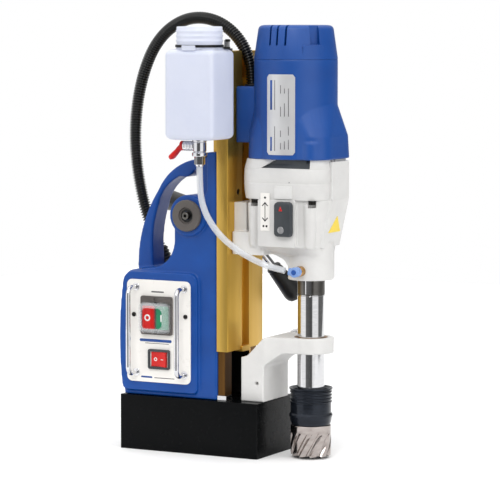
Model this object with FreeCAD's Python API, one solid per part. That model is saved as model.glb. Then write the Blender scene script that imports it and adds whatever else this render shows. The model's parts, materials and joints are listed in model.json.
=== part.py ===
import FreeCAD, Part
import math
import os

# Magnetic drill press: a permanent stand on an electromagnet, with a motor head that is fed
# down a gold slide by a three-spoke handle. Millimetres. +X points forward, to the spindle,
# the control panel faces -Y, +Z is up, and the origin is the middle of the magnet's underside.

V = FreeCAD.Vector
os.makedirs("parts", exist_ok=True)

# ---------------------------------------------------------------- driving dimensions
FIT = 0.05                      # radial clearance of a shaft in its bush
GAP = 0.3                       # clearance between pieces that pass each other

MAGNET_LENGTH, MAGNET_WIDTH, MAGNET_HEIGHT = 195.0, 101.0, 69.0
COIL_X = 44.0                   # each coil's centre, fore and aft of the middle

HOUSING_FRONT = 38.5            # front face, which carries the guide rails
HOUSING_HALF = 45.0             # half width of the cast housing
HOUSING_TOP = 378.0             # top of the tower beside the slide
BOX_TOP = 228.0                 # top of the lower box that holds the electronics
HANDLE_HALF = 15.0              # half width of the carrying handle

FEED_Z = 298.5                  # feed shaft height; the shaft lies along Y through x = 0
BOSS_R = 25.6
SHAFT_R = 8.0
FEED_MODULE, PINION_TEETH = 1.5, 20
PITCH_R = FEED_MODULE * PINION_TEETH / 2

SLIDE_FRONT, SLIDE_BACK = 55.0, 39.5
SLIDE_HALF = 47.5
SLIDE_BOTTOM, SLIDE_TOP = 130.5, 502.5
RAIL_FRONT = 48.0
NECK_HALF, FLANGE_HALF = 24.0, 34.0
GROOVE_HALF = 8.5

BRACKET_TOP, BRACKET_UNDER = 150.4, 131.0
CLAMP_X, CLAMP_Z = 107.0, 146.5  # screw that closes the bracket on its bush

SPINDLE_X, SPINDLE_R = 146.5, 17.0
MOTOR_X, MOTOR_R = 125.0, 51.5
CASE_BACK, CASE_FRONT, CASE_HALF, CASE_CORNER = 68.0, 182.0, 46.0, 24.0
COVER_BACK = 74.0               # the motor cover's skirt, set in from the case's back
SLAB_STEP = 3.0                 # flat slab that stands out of the case's front
CASE_SPLIT, CASE_TOP = 322.0, 371.0
CASE_FOOT, CASE_FOOT_FRONT, CASE_SHOULDER_FRONT = 263.0, 169.0, 182.0
PAD_FACE = -46.0                # raised pad on the case's near side, flush with the upper ring
SELECTOR_X, SELECTOR_Z = 133.0, 298.5
NOSE_R, NOSE_BOTTOM = 28.5, 222.0
COVER_TOP, CAP_TOP = 493.0, 534.6

GEAR_MODULE = 1.25
ARMATURE_TEETH, LAY_WHEEL_TEETH, LAY_PINION_TEETH, SPINDLE_TEETH = 9, 27, 13, 39

CUTTER_R, CUTTER_BOTTOM, CUTTER_TOP = 25.0, 3.0, 41.0
SLEEVE_R, SLEEVE_TOP = 27.0, 87.5
SHANK_R = 9.5

TANK_X0, TANK_X1, TANK_Y0, TANK_Y1 = 0.0, 65.0, -108.0, -48.0
TANK_BOTTOM, TANK_SHOULDER, TANK_TOP = 395.0, 505.0, 533.0
NECK_R, TANK_WALL = 28.0, 2.5
TANK_X, TANK_Y = (TANK_X0 + TANK_X1) / 2, (TANK_Y0 + TANK_Y1) / 2

PANEL_SCREWS = ((-76, 171.5), (-2, 172))      # x and z of each
BAR_R, BAR_OUT, BAR_IN, BAR_BEND = 3.0, -72.0, -44.5, 9.0
BAR_LOW, BAR_HIGH = 98.5, 206.5
BAR_FEET = [(x, z) for x in (-73, -4) for z in (BAR_LOW, BAR_HIGH)]
ROCKER_X, ROCKER_Y = -39.5, -50.0

FITTING_Z = 234.0               # coolant inlet on the nose
HOSE_D = 8.0
HOSE_ROUTE = [
    (TANK_X, TANK_Y, 362), (TANK_X, TANK_Y, 343), (33.8, -77.5, 323.8), (39, -75.8, 305),
    (48, -72.3, 288), (59.5, -67.6, 273.5), (73, -61.8, 261.5), (87.5, -55.5, 251.5),
    (102, -50.2, 243.8), (117, -46.2, 238.5), (132.5, -44, 235.5),
]

CONDUIT_D = 15.2
GLAND_LENGTH = 27.0
CONDUIT_ROUTE = [
    (64.5, 0, 450), (64.5, 0, 479), (54.2, 0, 507.2), (33.1, 0.5, 530), (4.5, 2, 543),
    (-27.5, 4.5, 543.5), (-57, 8, 531), (-80, 12, 510.4), (-96, 15.5, 483.8), (-107.5, 18.5, 452.8),
    (-114.5, 21, 419.5), (-117.5, 23.5, 385.5), (-116, 26, 352.5), (-111.5, 28, 322),
    (-105, 29.5, 295.5), (-96, 30, 271), (-84.6, 30, 249),
]


# ---------------------------------------------------------------- shape helpers
def save(shape, node):
    """Writes one sub-part, and says so if its solid isn't sound."""
    if not shape.isValid():
        print("INVALID", node)
    shape.exportStep(f"parts/{node}.step")


def block(x0, y0, z0, x1, y1, z1):
    return Part.makeBox(x1 - x0, y1 - y0, z1 - z0, V(x0, y0, z0))


def rod(radius, start, end):
    """A cylinder from one point to another."""
    run = V(*end) - V(*start)
    return Part.makeCylinder(radius, run.Length, V(*start), run)


def taper(radius_start, radius_end, start, end):
    run = V(*end) - V(*start)
    return Part.makeCone(radius_start, radius_end, run.Length, V(*start), run)


def ring(outer, inner, start, end):
    """A cylinder with a hole right through it."""
    return rod(outer, start, end).cut(rod(inner, start, end))


def fuse(*shapes):
    return shapes[0].multiFuse(list(shapes[1:])).removeSplitter()


def group(solids):
    """Separate solids that share one node."""
    return Part.makeCompound(list(solids))


def turned(shape, centre, axis, angle):
    copy = shape.copy()
    copy.rotate(V(*centre), V(*axis), angle)
    return copy


def moved(shape, x, y, z):
    copy = shape.copy()
    copy.translate(V(x, y, z))
    return copy


def closed_wire(place, steps):
    """A closed outline: each step is a point, or a pair (arc's middle, arc's end).
    place turns a flat pair into a point in space."""
    edges = []
    here = place(*steps[0])
    for step in [*steps[1:], steps[0]]:
        if isinstance(step[0], tuple):
            middle, end = place(*step[0]), place(*step[1])
            edges.append(Part.Arc(here, middle, end).toShape())
        else:
            end = place(*step)
            if here.distanceToPoint(end) > 1e-6:
                edges.append(Part.LineSegment(here, end).toShape())
        here = end
    return Part.Wire(edges)


def side_prism(steps, y0, y1):
    """An outline in X and Z, drawn out from y0 to y1."""
    wire = closed_wire(lambda x, z: V(x, y0, z), steps)
    return Part.Face(wire).extrude(V(0, y1 - y0, 0))


def plan_prism(steps, z0, z1):
    """An outline in X and Y, drawn up from z0 to z1."""
    wire = closed_wire(lambda x, y: V(x, y, z0), steps)
    return Part.Face(wire).extrude(V(0, 0, z1 - z0))


def gland_frame():
    """Where the conduit gland stands on the housing, and the way it points, up its conduit."""
    end, before = V(*CONDUIT_ROUTE[-1]), V(*CONDUIT_ROUTE[-2])
    way = (before - end).normalize()
    return end - way * GLAND_LENGTH, way


def rounded_steps(a0, b0, a1, b1, r):
    """The steps of a rectangle with round corners."""
    k = r * (1 - math.sqrt(0.5))
    return [
        (a0 + r, b0),
        (a1 - r, b0),
        ((a1 - k, b0 + k), (a1, b0 + r)),
        (a1, b1 - r),
        ((a1 - k, b1 - k), (a1 - r, b1)),
        (a0 + r, b1),
        ((a0 + k, b1 - k), (a0, b1 - r)),
        (a0, b0 + r),
        ((a0 + k, b0 + k), (a0 + r, b0)),
    ]


def rounded_plate(x0, z0, x1, z1, r, y0, y1):
    """An upright plate with round corners, its face towards -Y."""
    return side_prism(rounded_steps(x0, z0, x1, z1, r), y0, y1)


def rounded_block(x0, y0, x1, y1, r, z0, z1):
    """A block whose upright edges are round."""
    return plan_prism(rounded_steps(x0, y0, x1, y1, r), z0, z1)


def plan_loft(low, z0, high, z1):
    """A straight-sided loft between two rectangles (x0, y0, x1, y1, r) with round corners."""
    wires = []
    for size, z in ((low, z0), (high, z1)):
        wires.append(closed_wire(lambda x, y, z=z: V(x, y, z), rounded_steps(*size)))
    return Part.makeLoft(wires, True, True)


def softened(shape, radius, chosen):
    """Rounds the edges that chosen(edge) picks."""
    edges = [e for e in shape.Edges if chosen(e)]
    return shape.makeFillet(radius, edges)


def hex_head(across, start, end):
    """A hexagonal prism along the line from start to end."""
    run = V(*end) - V(*start)
    radius = across / math.sqrt(3)
    points = [V(radius * math.cos(math.radians(60 * i)), radius * math.sin(math.radians(60 * i)), 0)
              for i in range(7)]
    prism = Part.Face(Part.makePolygon(points)).extrude(V(0, 0, run.Length))
    turn = FreeCAD.Rotation(V(0, 0, 1), run)
    prism.Placement = FreeCAD.Placement(V(*start), turn)
    return prism


def cap_screw(point, outward, shank_r, shank, head_r, head):
    """A socket-head screw: the head stands out of point along outward, the shank goes in."""
    p, d = V(*point), V(*outward)
    body = Part.makeCylinder(head_r, head, p, d)
    body = body.cut(Part.makeCylinder(head_r * 0.5, head * 0.55, p + d * head * 0.45, d))
    return body.fuse(Part.makeCylinder(shank_r, shank, p - d * shank, d)).removeSplitter()


def involute_outline(module, teeth, backlash, points_per_flank=5):
    """One gear's outline in the plane, a tooth centred on angle 0."""
    pitch_r = module * teeth / 2
    base_r = pitch_r * math.cos(math.radians(20))
    tip_r, root_r = pitch_r + module, pitch_r - 1.25 * module
    start_r = max(base_r, root_r + 0.05)

    def spread(r):
        cos = min(1.0, base_r / r)
        return math.tan(math.acos(cos)) - math.acos(cos)

    half = math.pi / (2 * teeth) - backlash / (2 * pitch_r) + spread(pitch_r)
    outline = []
    for tooth in range(teeth):
        middle = 2 * math.pi * tooth / teeth
        flank = [(start_r + (tip_r - start_r) * i / (points_per_flank - 1))
                 for i in range(points_per_flank)]
        foot = half - spread(start_r)
        outline.append((root_r, middle - foot))
        outline += [(r, middle - half + spread(r)) for r in flank]
        outline += [(r, middle + half - spread(r)) for r in reversed(flank)]
        outline.append((root_r, middle + foot))
    return [(r * math.cos(a), r * math.sin(a)) for r, a in outline]


def spur_gear(module, teeth, x, y, z0, z1, tooth_angle, bore=0.0, backlash=0.12):
    """A gear on an upright axis with one tooth pointing along tooth_angle, in radians."""
    cos, sin = math.cos(tooth_angle), math.sin(tooth_angle)
    flat = [V(x + a * cos - b * sin, y + a * sin + b * cos, z0)
            for a, b in involute_outline(module, teeth, backlash)]
    gear = Part.Face(Part.makePolygon([*flat, flat[0]])).extrude(V(0, 0, z1 - z0))
    if bore:
        gear = gear.cut(rod(bore, (x, y, z0 - 1), (x, y, z1 + 1)))
    return gear


def cord_tube(name, points, diameter):
    """A cord's tube: straight runs joined by tangent arcs, each as large as its runs allow."""
    spots = [V(*p) for p in points]
    runs = [(b - a).Length for a, b in zip(spots, spots[1:])]
    edges, radii = [], []
    here = spots[0]
    for i in range(1, len(spots) - 1):
        into = (spots[i] - spots[i - 1]).normalize()
        out = (spots[i + 1] - spots[i]).normalize()
        half_turn = into.getAngle(out) / 2
        trim = 0.45 * min(runs[i - 1], runs[i])
        radii.append(trim / math.tan(half_turn))
        first, last = spots[i] - into * trim, spots[i] + out * trim
        bisector = (out - into).normalize()
        centre_gap = math.hypot(radii[-1], trim)
        middle = spots[i] + bisector * (centre_gap - radii[-1])
        edges.append(Part.LineSegment(here, first).toShape())
        edges.append(Part.Arc(first, middle, last).toShape())
        here = last
    edges.append(Part.LineSegment(here, spots[-1]).toShape())
    path = Part.Wire(edges)
    section = Part.Wire([Part.makeCircle(diameter / 2, spots[0], spots[1] - spots[0])])
    tube = path.makePipeShell([section], True, False)
    wanted = math.pi * diameter ** 2 / 4 * path.Length
    print(f"{name}: length {path.Length:.0f} mm, volume {tube.Volume / wanted:.4f} of section x length")
    print(f"  radii {[round(r) for r in radii]}, runs {[round(r) for r in runs]}")
    return tube


# ---------------------------------------------------------------- magnet base
def magnet():
    half_l, half_w = MAGNET_LENGTH / 2, MAGNET_WIDTH / 2
    body = block(-half_l, -half_w, 0, half_l, half_w, MAGNET_HEIGHT)
    body = softened(body, 2.0, lambda e: abs(e.BoundBox.ZLength - MAGNET_HEIGHT) < 0.1)
    coils, pottings = [], []
    for x in (-COIL_X, COIL_X):
        pocket = block(x - 39, -42, 0, x + 39, 42, 46).cut(block(x - 20, -23, 0, x + 20, 23, 46))
        body = body.cut(pocket)
        coils.append(pocket.common(block(-half_l, -half_w, 8, half_l, half_w, 46)))
        pottings.append(pocket.common(block(-half_l, -half_w, 0, half_l, half_w, 8)))
    save(body, "magnet_body")
    save(group(coils), "magnet_coils")
    save(group(pottings), "magnet_potting")


# ---------------------------------------------------------------- housing and handle
def housing():
    side = [
        (HOUSING_FRONT, MAGNET_HEIGHT),
        (HOUSING_FRONT, HOUSING_TOP - 4),
        ((HOUSING_FRONT - 1.2, HOUSING_TOP - 1.2), (HOUSING_FRONT - 4, HOUSING_TOP)),
        (28, HOUSING_TOP),
        ((25.2, HOUSING_TOP - 1.2), (24, HOUSING_TOP - 4)),
        (24, 332),
        ((21.8, 324), (16, FEED_Z + math.sqrt(BOSS_R ** 2 - 16 ** 2))),
        ((0, FEED_Z + BOSS_R), (-22, FEED_Z + math.sqrt(BOSS_R ** 2 - 22 ** 2))),
        (-22, 268),
        ((-29, 245), (-50, 232)),
        (-78, BOX_TOP),
        ((-88, 224.5), (-93, 215)),
        ((-99, 150), (-94, MAGNET_HEIGHT)),
    ]
    body = side_prism(side, -HOUSING_HALF, HOUSING_HALF)
    pad = rounded_plate(-95, 75, 13, 226, 9, -50, -HOUSING_HALF + 1)
    bosses = [rod(BOSS_R, (0, s * 44, FEED_Z), (0, s * 50, FEED_Z)) for s in (-1, 1)]
    handle = [
        (-91, 215),
        (-91, 222),
        ((-85.5, 275), (-62, 326)),
        ((-40, 353), (-12, 366)),
        (14, 369),
        (14, 356),
        (-14, 353),
        ((-44, 337), (-62, 307)),
        ((-69.5, 275), (-70, 245)),
        (-70, 215),
    ]
    grip = side_prism(handle, -HANDLE_HALF, HANDLE_HALF)
    root = block(9, -38, 316, 25, 38, 371)
    body = fuse(body, pad, *bosses, grip, root)
    way_half = FLANGE_HALF + 0.4
    channel = block(13, -way_half, MAGNET_HEIGHT - 1, HOUSING_FRONT + 1, way_half, HOUSING_TOP + 1)
    hollows = [
        channel,
        block(-88, -40, MAGNET_HEIGHT - 1, 7, 40, 220),
        block(-14, -36, 215, 7, 36, 272),
        rod(18.5, (0, -30, FEED_Z), (0, 30, FEED_Z)),
        block(0, -16, FEED_Z - 17, 14, 16, FEED_Z + 17),
        rod(12, (0, -51, FEED_Z), (0, 51, FEED_Z)),
        block(-72, -51, 100, -14, -39, 200),
    ]
    for hollow in hollows:
        body = body.cut(hollow)
    foot, way = gland_frame()
    seat = rod(11, tuple(foot - way * 8), tuple(foot))
    body = body.fuse(seat.common(block(-100, 15, 200, -50, 44, 240))).removeSplitter()
    body = body.cut(rod(6, tuple(foot - way * 20), tuple(foot + way)))
    body = body.cut(rod(11.8, tuple(foot), tuple(foot + way * GLAND_LENGTH)))
    for x, z in PANEL_SCREWS:
        body = body.cut(rod(1.5, (x, -51, z), (x, -43, z)))
    for x, z in BAR_FEET:
        body = body.cut(rod(BAR_R + FIT, (x, -51, z), (x, -44, z)))
    save(body, "housing")
    bushes = [ring(12, SHAFT_R + FIT, (0, s * 31, FEED_Z), (0, s * 50, FEED_Z)) for s in (-1, 1)]
    save(group(bushes), "feed_bushes")


def gland():
    foot, way = gland_frame()
    nut = hex_head(20, tuple(foot), tuple(foot + way * 8))
    neck = rod(8.2, tuple(foot + way * 8), tuple(foot + way * GLAND_LENGTH))
    ribs = []
    for i in range(4):
        low = 9 + 4.5 * i
        ribs.append(rod(9.4, tuple(foot + way * low), tuple(foot + way * (low + 2.6))))
    save(fuse(nut, neck, *ribs), "conduit_gland")


def controls():
    plate = rounded_plate(-89, 87, 4, 216, 7, -52, -50)
    plate = plate.cut(block(-63.2, -53, 149.8, -21.8, -49, 193.2)).cut(block(-53, -53, 106, -26, -49, 127))
    for x, z in BAR_FEET:
        plate = plate.cut(rod(BAR_R + FIT, (x, -53, z), (x, -49, z)))
    for x, z in PANEL_SCREWS:
        plate = plate.cut(rod(1.5, (x, -53, z), (x, -49, z)))
    save(plate, "control_panel")
    bars = []
    corner = BAR_BEND * (1 - math.sqrt(0.5))
    for x in (-73, -4):
        steps = [
            V(x, BAR_IN, BAR_LOW), V(x, BAR_OUT + BAR_BEND, BAR_LOW), V(x, BAR_OUT, BAR_LOW + BAR_BEND),
            V(x, BAR_OUT, BAR_HIGH - BAR_BEND), V(x, BAR_OUT + BAR_BEND, BAR_HIGH), V(x, BAR_IN, BAR_HIGH),
        ]
        low = V(x, BAR_OUT + corner, BAR_LOW + corner)
        high = V(x, BAR_OUT + corner, BAR_HIGH - corner)
        path = Part.Wire([
            Part.LineSegment(steps[0], steps[1]).toShape(),
            Part.Arc(steps[1], low, steps[2]).toShape(),
            Part.LineSegment(steps[2], steps[3]).toShape(),
            Part.Arc(steps[3], high, steps[4]).toShape(),
            Part.LineSegment(steps[4], steps[5]).toShape(),
        ])
        section = Part.Wire([Part.makeCircle(BAR_R, steps[0], V(0, -1, 0))])
        bars.append(path.makePipeShell([section], True, False))
    save(group(bars), "guard_bars")
    frame = rounded_plate(-65, 147.5, -20, 196, 3, -55.5, -52)
    frame = fuse(frame, block(-63, -52.5, 150, -22, -22, 193))
    wells = {"stop_button": (-61.9, -43.9), "start_button": (-42.1, -24.1)}
    for name, (x0, x1) in wells.items():
        frame = frame.cut(block(x0, -56, 154, x1, -38, 184))
        save(rounded_plate(x0 + GAP, 154.3, x1 - GAP, 183.7, 2.5, -59.5, -44), name)
    save(frame, "starter_switch_body")
    outer = rounded_plate(-64, 149.5, -21, 189, 6, -67, -55.5)
    inner = rounded_plate(-62.6, 150.9, -22.4, 187.6, 5, -65.6, -55.4)
    save(outer.cut(inner), "starter_cover")
    bezel = rounded_plate(-55, 104, -24, 129, 2.5, -54.5, -52)
    bezel = fuse(bezel, block(-52.8, -52.5, 106.2, -26.2, -28, 126.8))
    bezel = bezel.cut(block(-51, -55, 108, -28, -34, 125))
    bezel = bezel.cut(rod(1.2 + FIT, (ROCKER_X, ROCKER_Y, 107), (ROCKER_X, ROCKER_Y, 126)))
    save(bezel, "rocker_bezel")
    half = 10.0
    rocker = [
        (ROCKER_X - half, -53.2), (ROCKER_X, -52.8), (ROCKER_X + half, -56.5), (ROCKER_X + half, ROCKER_Y),
        ((ROCKER_X, -42), (ROCKER_X - half, ROCKER_Y)),
    ]
    pivot = rod(1.2, (ROCKER_X, ROCKER_Y, 107.2), (ROCKER_X, ROCKER_Y, 125.8))
    save(fuse(plan_prism(rocker, 108.4, 124.6), pivot), "rocker_switch")
    screws = [cap_screw((x, -52, z), (0, -1, 0), 1.5, 8, 2.8, 1.6) for x, z in PANEL_SCREWS]
    save(group(screws), "panel_screws")
    board = block(-84, -20, 76, -20, 32, 78)
    capacitor = rod(9, (-70, 18, 78), (-70, 18, 112))
    transformer = block(-52, -12, 78, -30, 24, 96)
    relay = block(-66, -14, 78, -56, 4, 90)
    save(fuse(board, capacitor, transformer, relay), "control_board")


# ---------------------------------------------------------------- guides on the housing
def guides():
    foot_top = MAGNET_HEIGHT + 6
    rails = [
        block(HOUSING_FRONT, -42, foot_top, RAIL_FRONT, -NECK_HALF - 0.1, HOUSING_TOP),
        block(HOUSING_FRONT, NECK_HALF + 3.4, foot_top, RAIL_FRONT, 42, HOUSING_TOP),
    ]
    screws = [rod(2.5, (43.2, NECK_HALF + 3.4, z), (43.2, 41.9, z)) for z in (110, 200, 290, 355)]
    for screw in screws:
        rails[1] = rails[1].cut(screw)
    save(group(rails), "guide_rails")
    near, far = NECK_HALF + 0.1, NECK_HALF + 3.3
    save(block(HOUSING_FRONT + 0.1, near, foot_top, RAIL_FRONT - 0.1, far, HOUSING_TOP), "gib_strip")
    save(group(screws), "gib_screws")
    feet = [block(HOUSING_FRONT, s * 36 - 8, MAGNET_HEIGHT, 51, s * 36 + 8, foot_top) for s in (-1, 1)]
    save(group(feet), "rail_feet")


# ---------------------------------------------------------------- front support bracket
def support():
    top, under = BRACKET_TOP, BRACKET_UNDER
    side = [
        (66, MAGNET_HEIGHT), (66, 124), ((71, 124.6), (76, 127.5)), (93, 145),
        ((97, 149), (103, top)), (180, top), (180, under), (121, under), (99, 115.5), (97.5, 112),
        (97.5, MAGNET_HEIGHT),
    ]
    plan = [
        (66, -33), (97.5, -33), (104, -31.5), (SPINDLE_X, -28.5), ((SPINDLE_X + 28.5, 0), (SPINDLE_X, 28.5)),
        (104, 33), (97.5, 35), (66, 35),
    ]
    body = side_prism(side, -40, 40).common(plan_prism(plan, MAGNET_HEIGHT, top))
    body = body.cut(rod(20.5, (SPINDLE_X, 0, under - 1), (SPINDLE_X, 0, top + 1)))
    body = body.cut(rod(2.6, (88, -34, 92), (88, -20, 92)))
    studs = [rod(4, (x, y, MAGNET_HEIGHT), (x, y, MAGNET_HEIGHT + 22)) for x in (74, 90) for y in (-20, 20)]
    for stud in studs:
        body = body.cut(stud)
    body = body.cut(rod(4, (CLAMP_X, 17, CLAMP_Z), (CLAMP_X, 36, CLAMP_Z)))
    save(body, "support_bracket")
    save(ring(20.5, SPINDLE_R + 0.08, (SPINDLE_X, 0, under), (SPINDLE_X, 0, top)), "spindle_bush")
    save(group(studs), "bracket_bolts")
    clamp = fuse(rod(4, (CLAMP_X, 18, CLAMP_Z), (CLAMP_X, 36, CLAMP_Z)),
                 rod(7.5, (CLAMP_X, 34.6, CLAMP_Z), (CLAMP_X, 40.6, CLAMP_Z)))
    save(clamp, "bush_clamp_screw")


# ---------------------------------------------------------------- slide and rack
def slide():
    """A channel that runs over the guide rails, held in by the wide back of its T-shaped neck."""
    front, back, passed = SLIDE_FRONT, SLIDE_BACK, HOUSING_FRONT - GAP
    inside = RAIL_FRONT + GAP
    corner = (front - 0.6, SLIDE_HALF - 0.6)
    far = [
        (47, GROOVE_HALF), (front, GROOVE_HALF + 1), (front, SLIDE_HALF - 2),
        (corner, (front - 2, SLIDE_HALF)),
        (back, SLIDE_HALF), (back, 42.4), (inside, 42.4), (inside, NECK_HALF), (passed, NECK_HALF),
        (passed, FLANGE_HALF), (28, FLANGE_HALF), (28, 14), (20, 14),
    ]
    near = [(x, -y) for x, y in reversed([s for s in far if not isinstance(s[0], tuple)])]
    body = plan_prism([*near, *far], SLIDE_BOTTOM, SLIDE_TOP)
    body = body.cut(block(38, -9, SLIDE_TOP - 34, front + 1, 9, SLIDE_TOP + 1))
    body = fuse(body, block(46, -12, SLIDE_BOTTOM - 3, front + 2, 8, SLIDE_BOTTOM + 4))
    save(body, "slide_column")


def rack():
    """A straight rack on the back of the slide, with a gap level with the feed shaft."""
    pitch = math.pi * FEED_MODULE
    slope = math.tan(math.radians(20))
    tip_x, root_x, back_x = PITCH_R - FEED_MODULE, PITCH_R + 1.25 * FEED_MODULE, 20.0
    half_at_pitch = pitch / 4 - 0.08
    z_low, z_high = 238.0, 370.0
    first = math.ceil((z_low - FEED_Z) / pitch) + 1
    last = math.floor((z_high - FEED_Z) / pitch) - 1
    points = [V(back_x, -13, z_low), V(root_x, -13, z_low)]
    for i in range(first, last):
        middle = FEED_Z + (i + 0.5) * pitch
        root_half = half_at_pitch + 1.25 * FEED_MODULE * slope
        tip_half = half_at_pitch - FEED_MODULE * slope
        points += [V(root_x, -13, middle - root_half), V(tip_x, -13, middle - tip_half),
                   V(tip_x, -13, middle + tip_half), V(root_x, -13, middle + root_half)]
    points += [V(root_x, -13, z_high), V(back_x, -13, z_high), points[0]]
    save(Part.Face(Part.makePolygon(points)).extrude(V(0, 26, 0)), "feed_rack")


# ---------------------------------------------------------------- feed handle
def feed_handle():
    outline = [V(a, -14, FEED_Z + b) for a, b in involute_outline(FEED_MODULE, PINION_TEETH, 0.16)]
    pinion = Part.Face(Part.makePolygon([*outline, outline[0]])).extrude(V(0, 28, 0))
    shaft = rod(SHAFT_R, (0, -56, FEED_Z), (0, 74, FEED_Z))
    stub = ring(4.6, 2.0, (0, -63, FEED_Z), (0, -56, FEED_Z))
    save(fuse(shaft, pinion, stub), "feed_pinion_shaft")
    disc = ring(19.7, SHAFT_R, (0, -55, FEED_Z), (0, -50 - GAP, FEED_Z))
    save(disc, "shaft_end_disc")
    hub = rod(23, (0, 50 + GAP, FEED_Z), (0, 62, FEED_Z))
    hub = fuse(hub, taper(23, 15, (0, 62, FEED_Z), (0, 74, FEED_Z)))
    spokes, grips = [], []
    lean = math.radians(29.9)
    for turn in (-61.7, 58.3, 178.3):
        a = math.radians(turn)
        way = V(math.cos(lean) * math.cos(a), math.sin(lean), math.cos(lean) * math.sin(a))
        start = V(0, 55, FEED_Z)
        root, neck, tip = start + way * 14, start + way * 98, start + way * 152
        spokes.append(rod(5, tuple(root), tuple(start + way * 140)))
        hub = hub.cut(rod(5, tuple(root), tuple(start + way * 60)))
        waist = tip - way * 12
        grip = taper(9.5, 13.5, tuple(neck), tuple(waist)).fuse(taper(13.5, 9, tuple(waist), tuple(tip)))
        grips.append(grip.cut(rod(5, tuple(root), tuple(start + way * 140))))
    hub = hub.cut(rod(SHAFT_R, (0, 49, FEED_Z), (0, 80, FEED_Z)))
    save(hub, "feed_hub")
    save(group(spokes), "feed_spokes")
    save(group(grips), "feed_grips")


# ---------------------------------------------------------------- gearbox
def gearbox():
    x0, x1, y, r = CASE_BACK, CASE_FRONT, CASE_HALF, CASE_CORNER
    upper = rounded_block(x0, -y, x1, y, r, CASE_SPLIT, CASE_TOP)
    upper = upper.cut(rounded_block(x0 + 4, -y + 4, x1 - 4, y - 4, r - 4, CASE_SPLIT - 1, CASE_TOP + 1))
    vent = [(100, 360.5), (166, 360.5), (166, CASE_TOP + 1), (121, CASE_TOP + 1), (119, CASE_TOP)]
    upper = upper.cut(side_prism(vent, -50, -36))
    raised = rounded_plate(119, CASE_SPLIT, 143, 339, 0.8, PAD_FACE - 1, PAD_FACE + 1)
    slab = block(x1 - 2, -21, CASE_SPLIT, x1 + SLAB_STEP, 28, CASE_TOP - 3)
    save(fuse(upper, raised, slab), "gear_case_ring")
    foot = (78, -39, CASE_FOOT_FRONT, 39, 17)
    lower = plan_loft(foot, CASE_FOOT, (74, -41, CASE_SHOULDER_FRONT, 41, 20), CASE_SPLIT)
    nose = rod(NOSE_R, (SPINDLE_X, 0, NOSE_BOTTOM), (SPINDLE_X, 0, 266))
    throat = plan_loft((112, -27, 174, 27, 26), 252, (80, -38, 168, 38, 17), CASE_FOOT)
    arch = side_prism([(88, 262), (88, 254.5), ((106, 252), (118, 247)), ((124.5, 239.5), (128.5, 226)),
                       (140, 226), (140, 262)], -22, 22)
    slab = side_prism([(160, CASE_FOOT), (CASE_FOOT_FRONT + SLAB_STEP, CASE_FOOT),
                       (CASE_SHOULDER_FRONT + SLAB_STEP, CASE_SPLIT), (160, CASE_SPLIT)], -21, 28)
    arm = rounded_block(SLIDE_FRONT, -38, 100, 38, 4, 252, 280)
    arm = fuse(arm, block(SLIDE_FRONT, -30, 280, 72, 30, 316))
    pad = rounded_plate(96, 264, 147, CASE_SPLIT, 1, PAD_FACE, -38)
    lower = fuse(lower, nose, throat, arch, slab, arm, pad)
    cavity = plan_loft((82, -33, 162, 33, 12), 272, (78, -36, 172, 36, 15), CASE_SPLIT + 0.01)
    lower = lower.cut(cavity)
    lower = lower.cut(rod(24, (SPINDLE_X, 0, NOSE_BOTTOM - 1), (SPINDLE_X, 0, 268)))
    lower = lower.cut(rod(SPINDLE_R + 2 * GAP, (SPINDLE_X, 0, 267), (SPINDLE_X, 0, 290)))
    lower = lower.cut(rod(5 + FIT, (SELECTOR_X, -47, SELECTOR_Z), (SELECTOR_X, -30, SELECTOR_Z)))
    lay_x, lay_y = layshaft_centre()
    lower = fuse(lower, rod(9, (lay_x, lay_y, 271), (lay_x, lay_y, 318)))
    lower = lower.cut(rod(5 + FIT, (lay_x, lay_y, 299), (lay_x, lay_y, 319)))
    spots = [(x, y) for x in (90, 168) for y in (-41.4, 41.4)]
    for x, y in spots:
        lower = lower.cut(rod(5.5, (x, y, CASE_SPLIT - 14), (x, y, CASE_SPLIT + 1)))
    save(lower, "gear_case")
    bolts = [hex_head(7, (x, y, CASE_SPLIT - 6), (x, y, CASE_SPLIT)) for x, y in spots]
    save(group(bolts), "case_bolts")
    knob = rounded_plate(SELECTOR_X - 12, 277, SELECTOR_X + 12, 320, 5, -54, PAD_FACE - 1 - GAP)
    stem = rod(5, (SELECTOR_X, PAD_FACE - 2, SELECTOR_Z), (SELECTOR_X, -31, SELECTOR_Z))
    save(fuse(knob, stem), "gear_selector")
    bearings = [ring(24, SPINDLE_R + FIT, (SPINDLE_X, 0, 224), (SPINDLE_X, 0, 240)),
                ring(24, SPINDLE_R + FIT, (SPINDLE_X, 0, 252), (SPINDLE_X, 0, 268))]
    save(group(bearings), "spindle_bearings")
    save(rounded_plate(100, 283.5, 112.6, 330, 0.5, PAD_FACE - 0.5, PAD_FACE), "gear_label")
    save(slope_triangle(), "yellow_triangle")


def slope_triangle():
    """A plain sign on the sloping front of the lower case."""
    slope = (CASE_SHOULDER_FRONT - CASE_FOOT_FRONT) / (CASE_SPLIT - CASE_FOOT)
    corners = []
    for y, z in ((-13, 281), (20, 281), (3.5, 301)):
        corners.append(V(CASE_FOOT_FRONT + SLAB_STEP + (z - CASE_FOOT) * slope, y, z))
    outward = V(1, 0, -slope).normalize()
    return Part.Face(Part.makePolygon([*corners, corners[0]])).extrude(outward * 0.6)


def layshaft_centre():
    """The lay shaft stands where both of its gear pairs are in mesh."""
    to_armature = GEAR_MODULE * (ARMATURE_TEETH + LAY_WHEEL_TEETH) / 2
    to_spindle = GEAR_MODULE * (LAY_PINION_TEETH + SPINDLE_TEETH) / 2
    between = SPINDLE_X - MOTOR_X
    along = (to_armature ** 2 - to_spindle ** 2 + between ** 2) / (2 * between)
    return MOTOR_X + along, math.sqrt(to_armature ** 2 - along ** 2)


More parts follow.
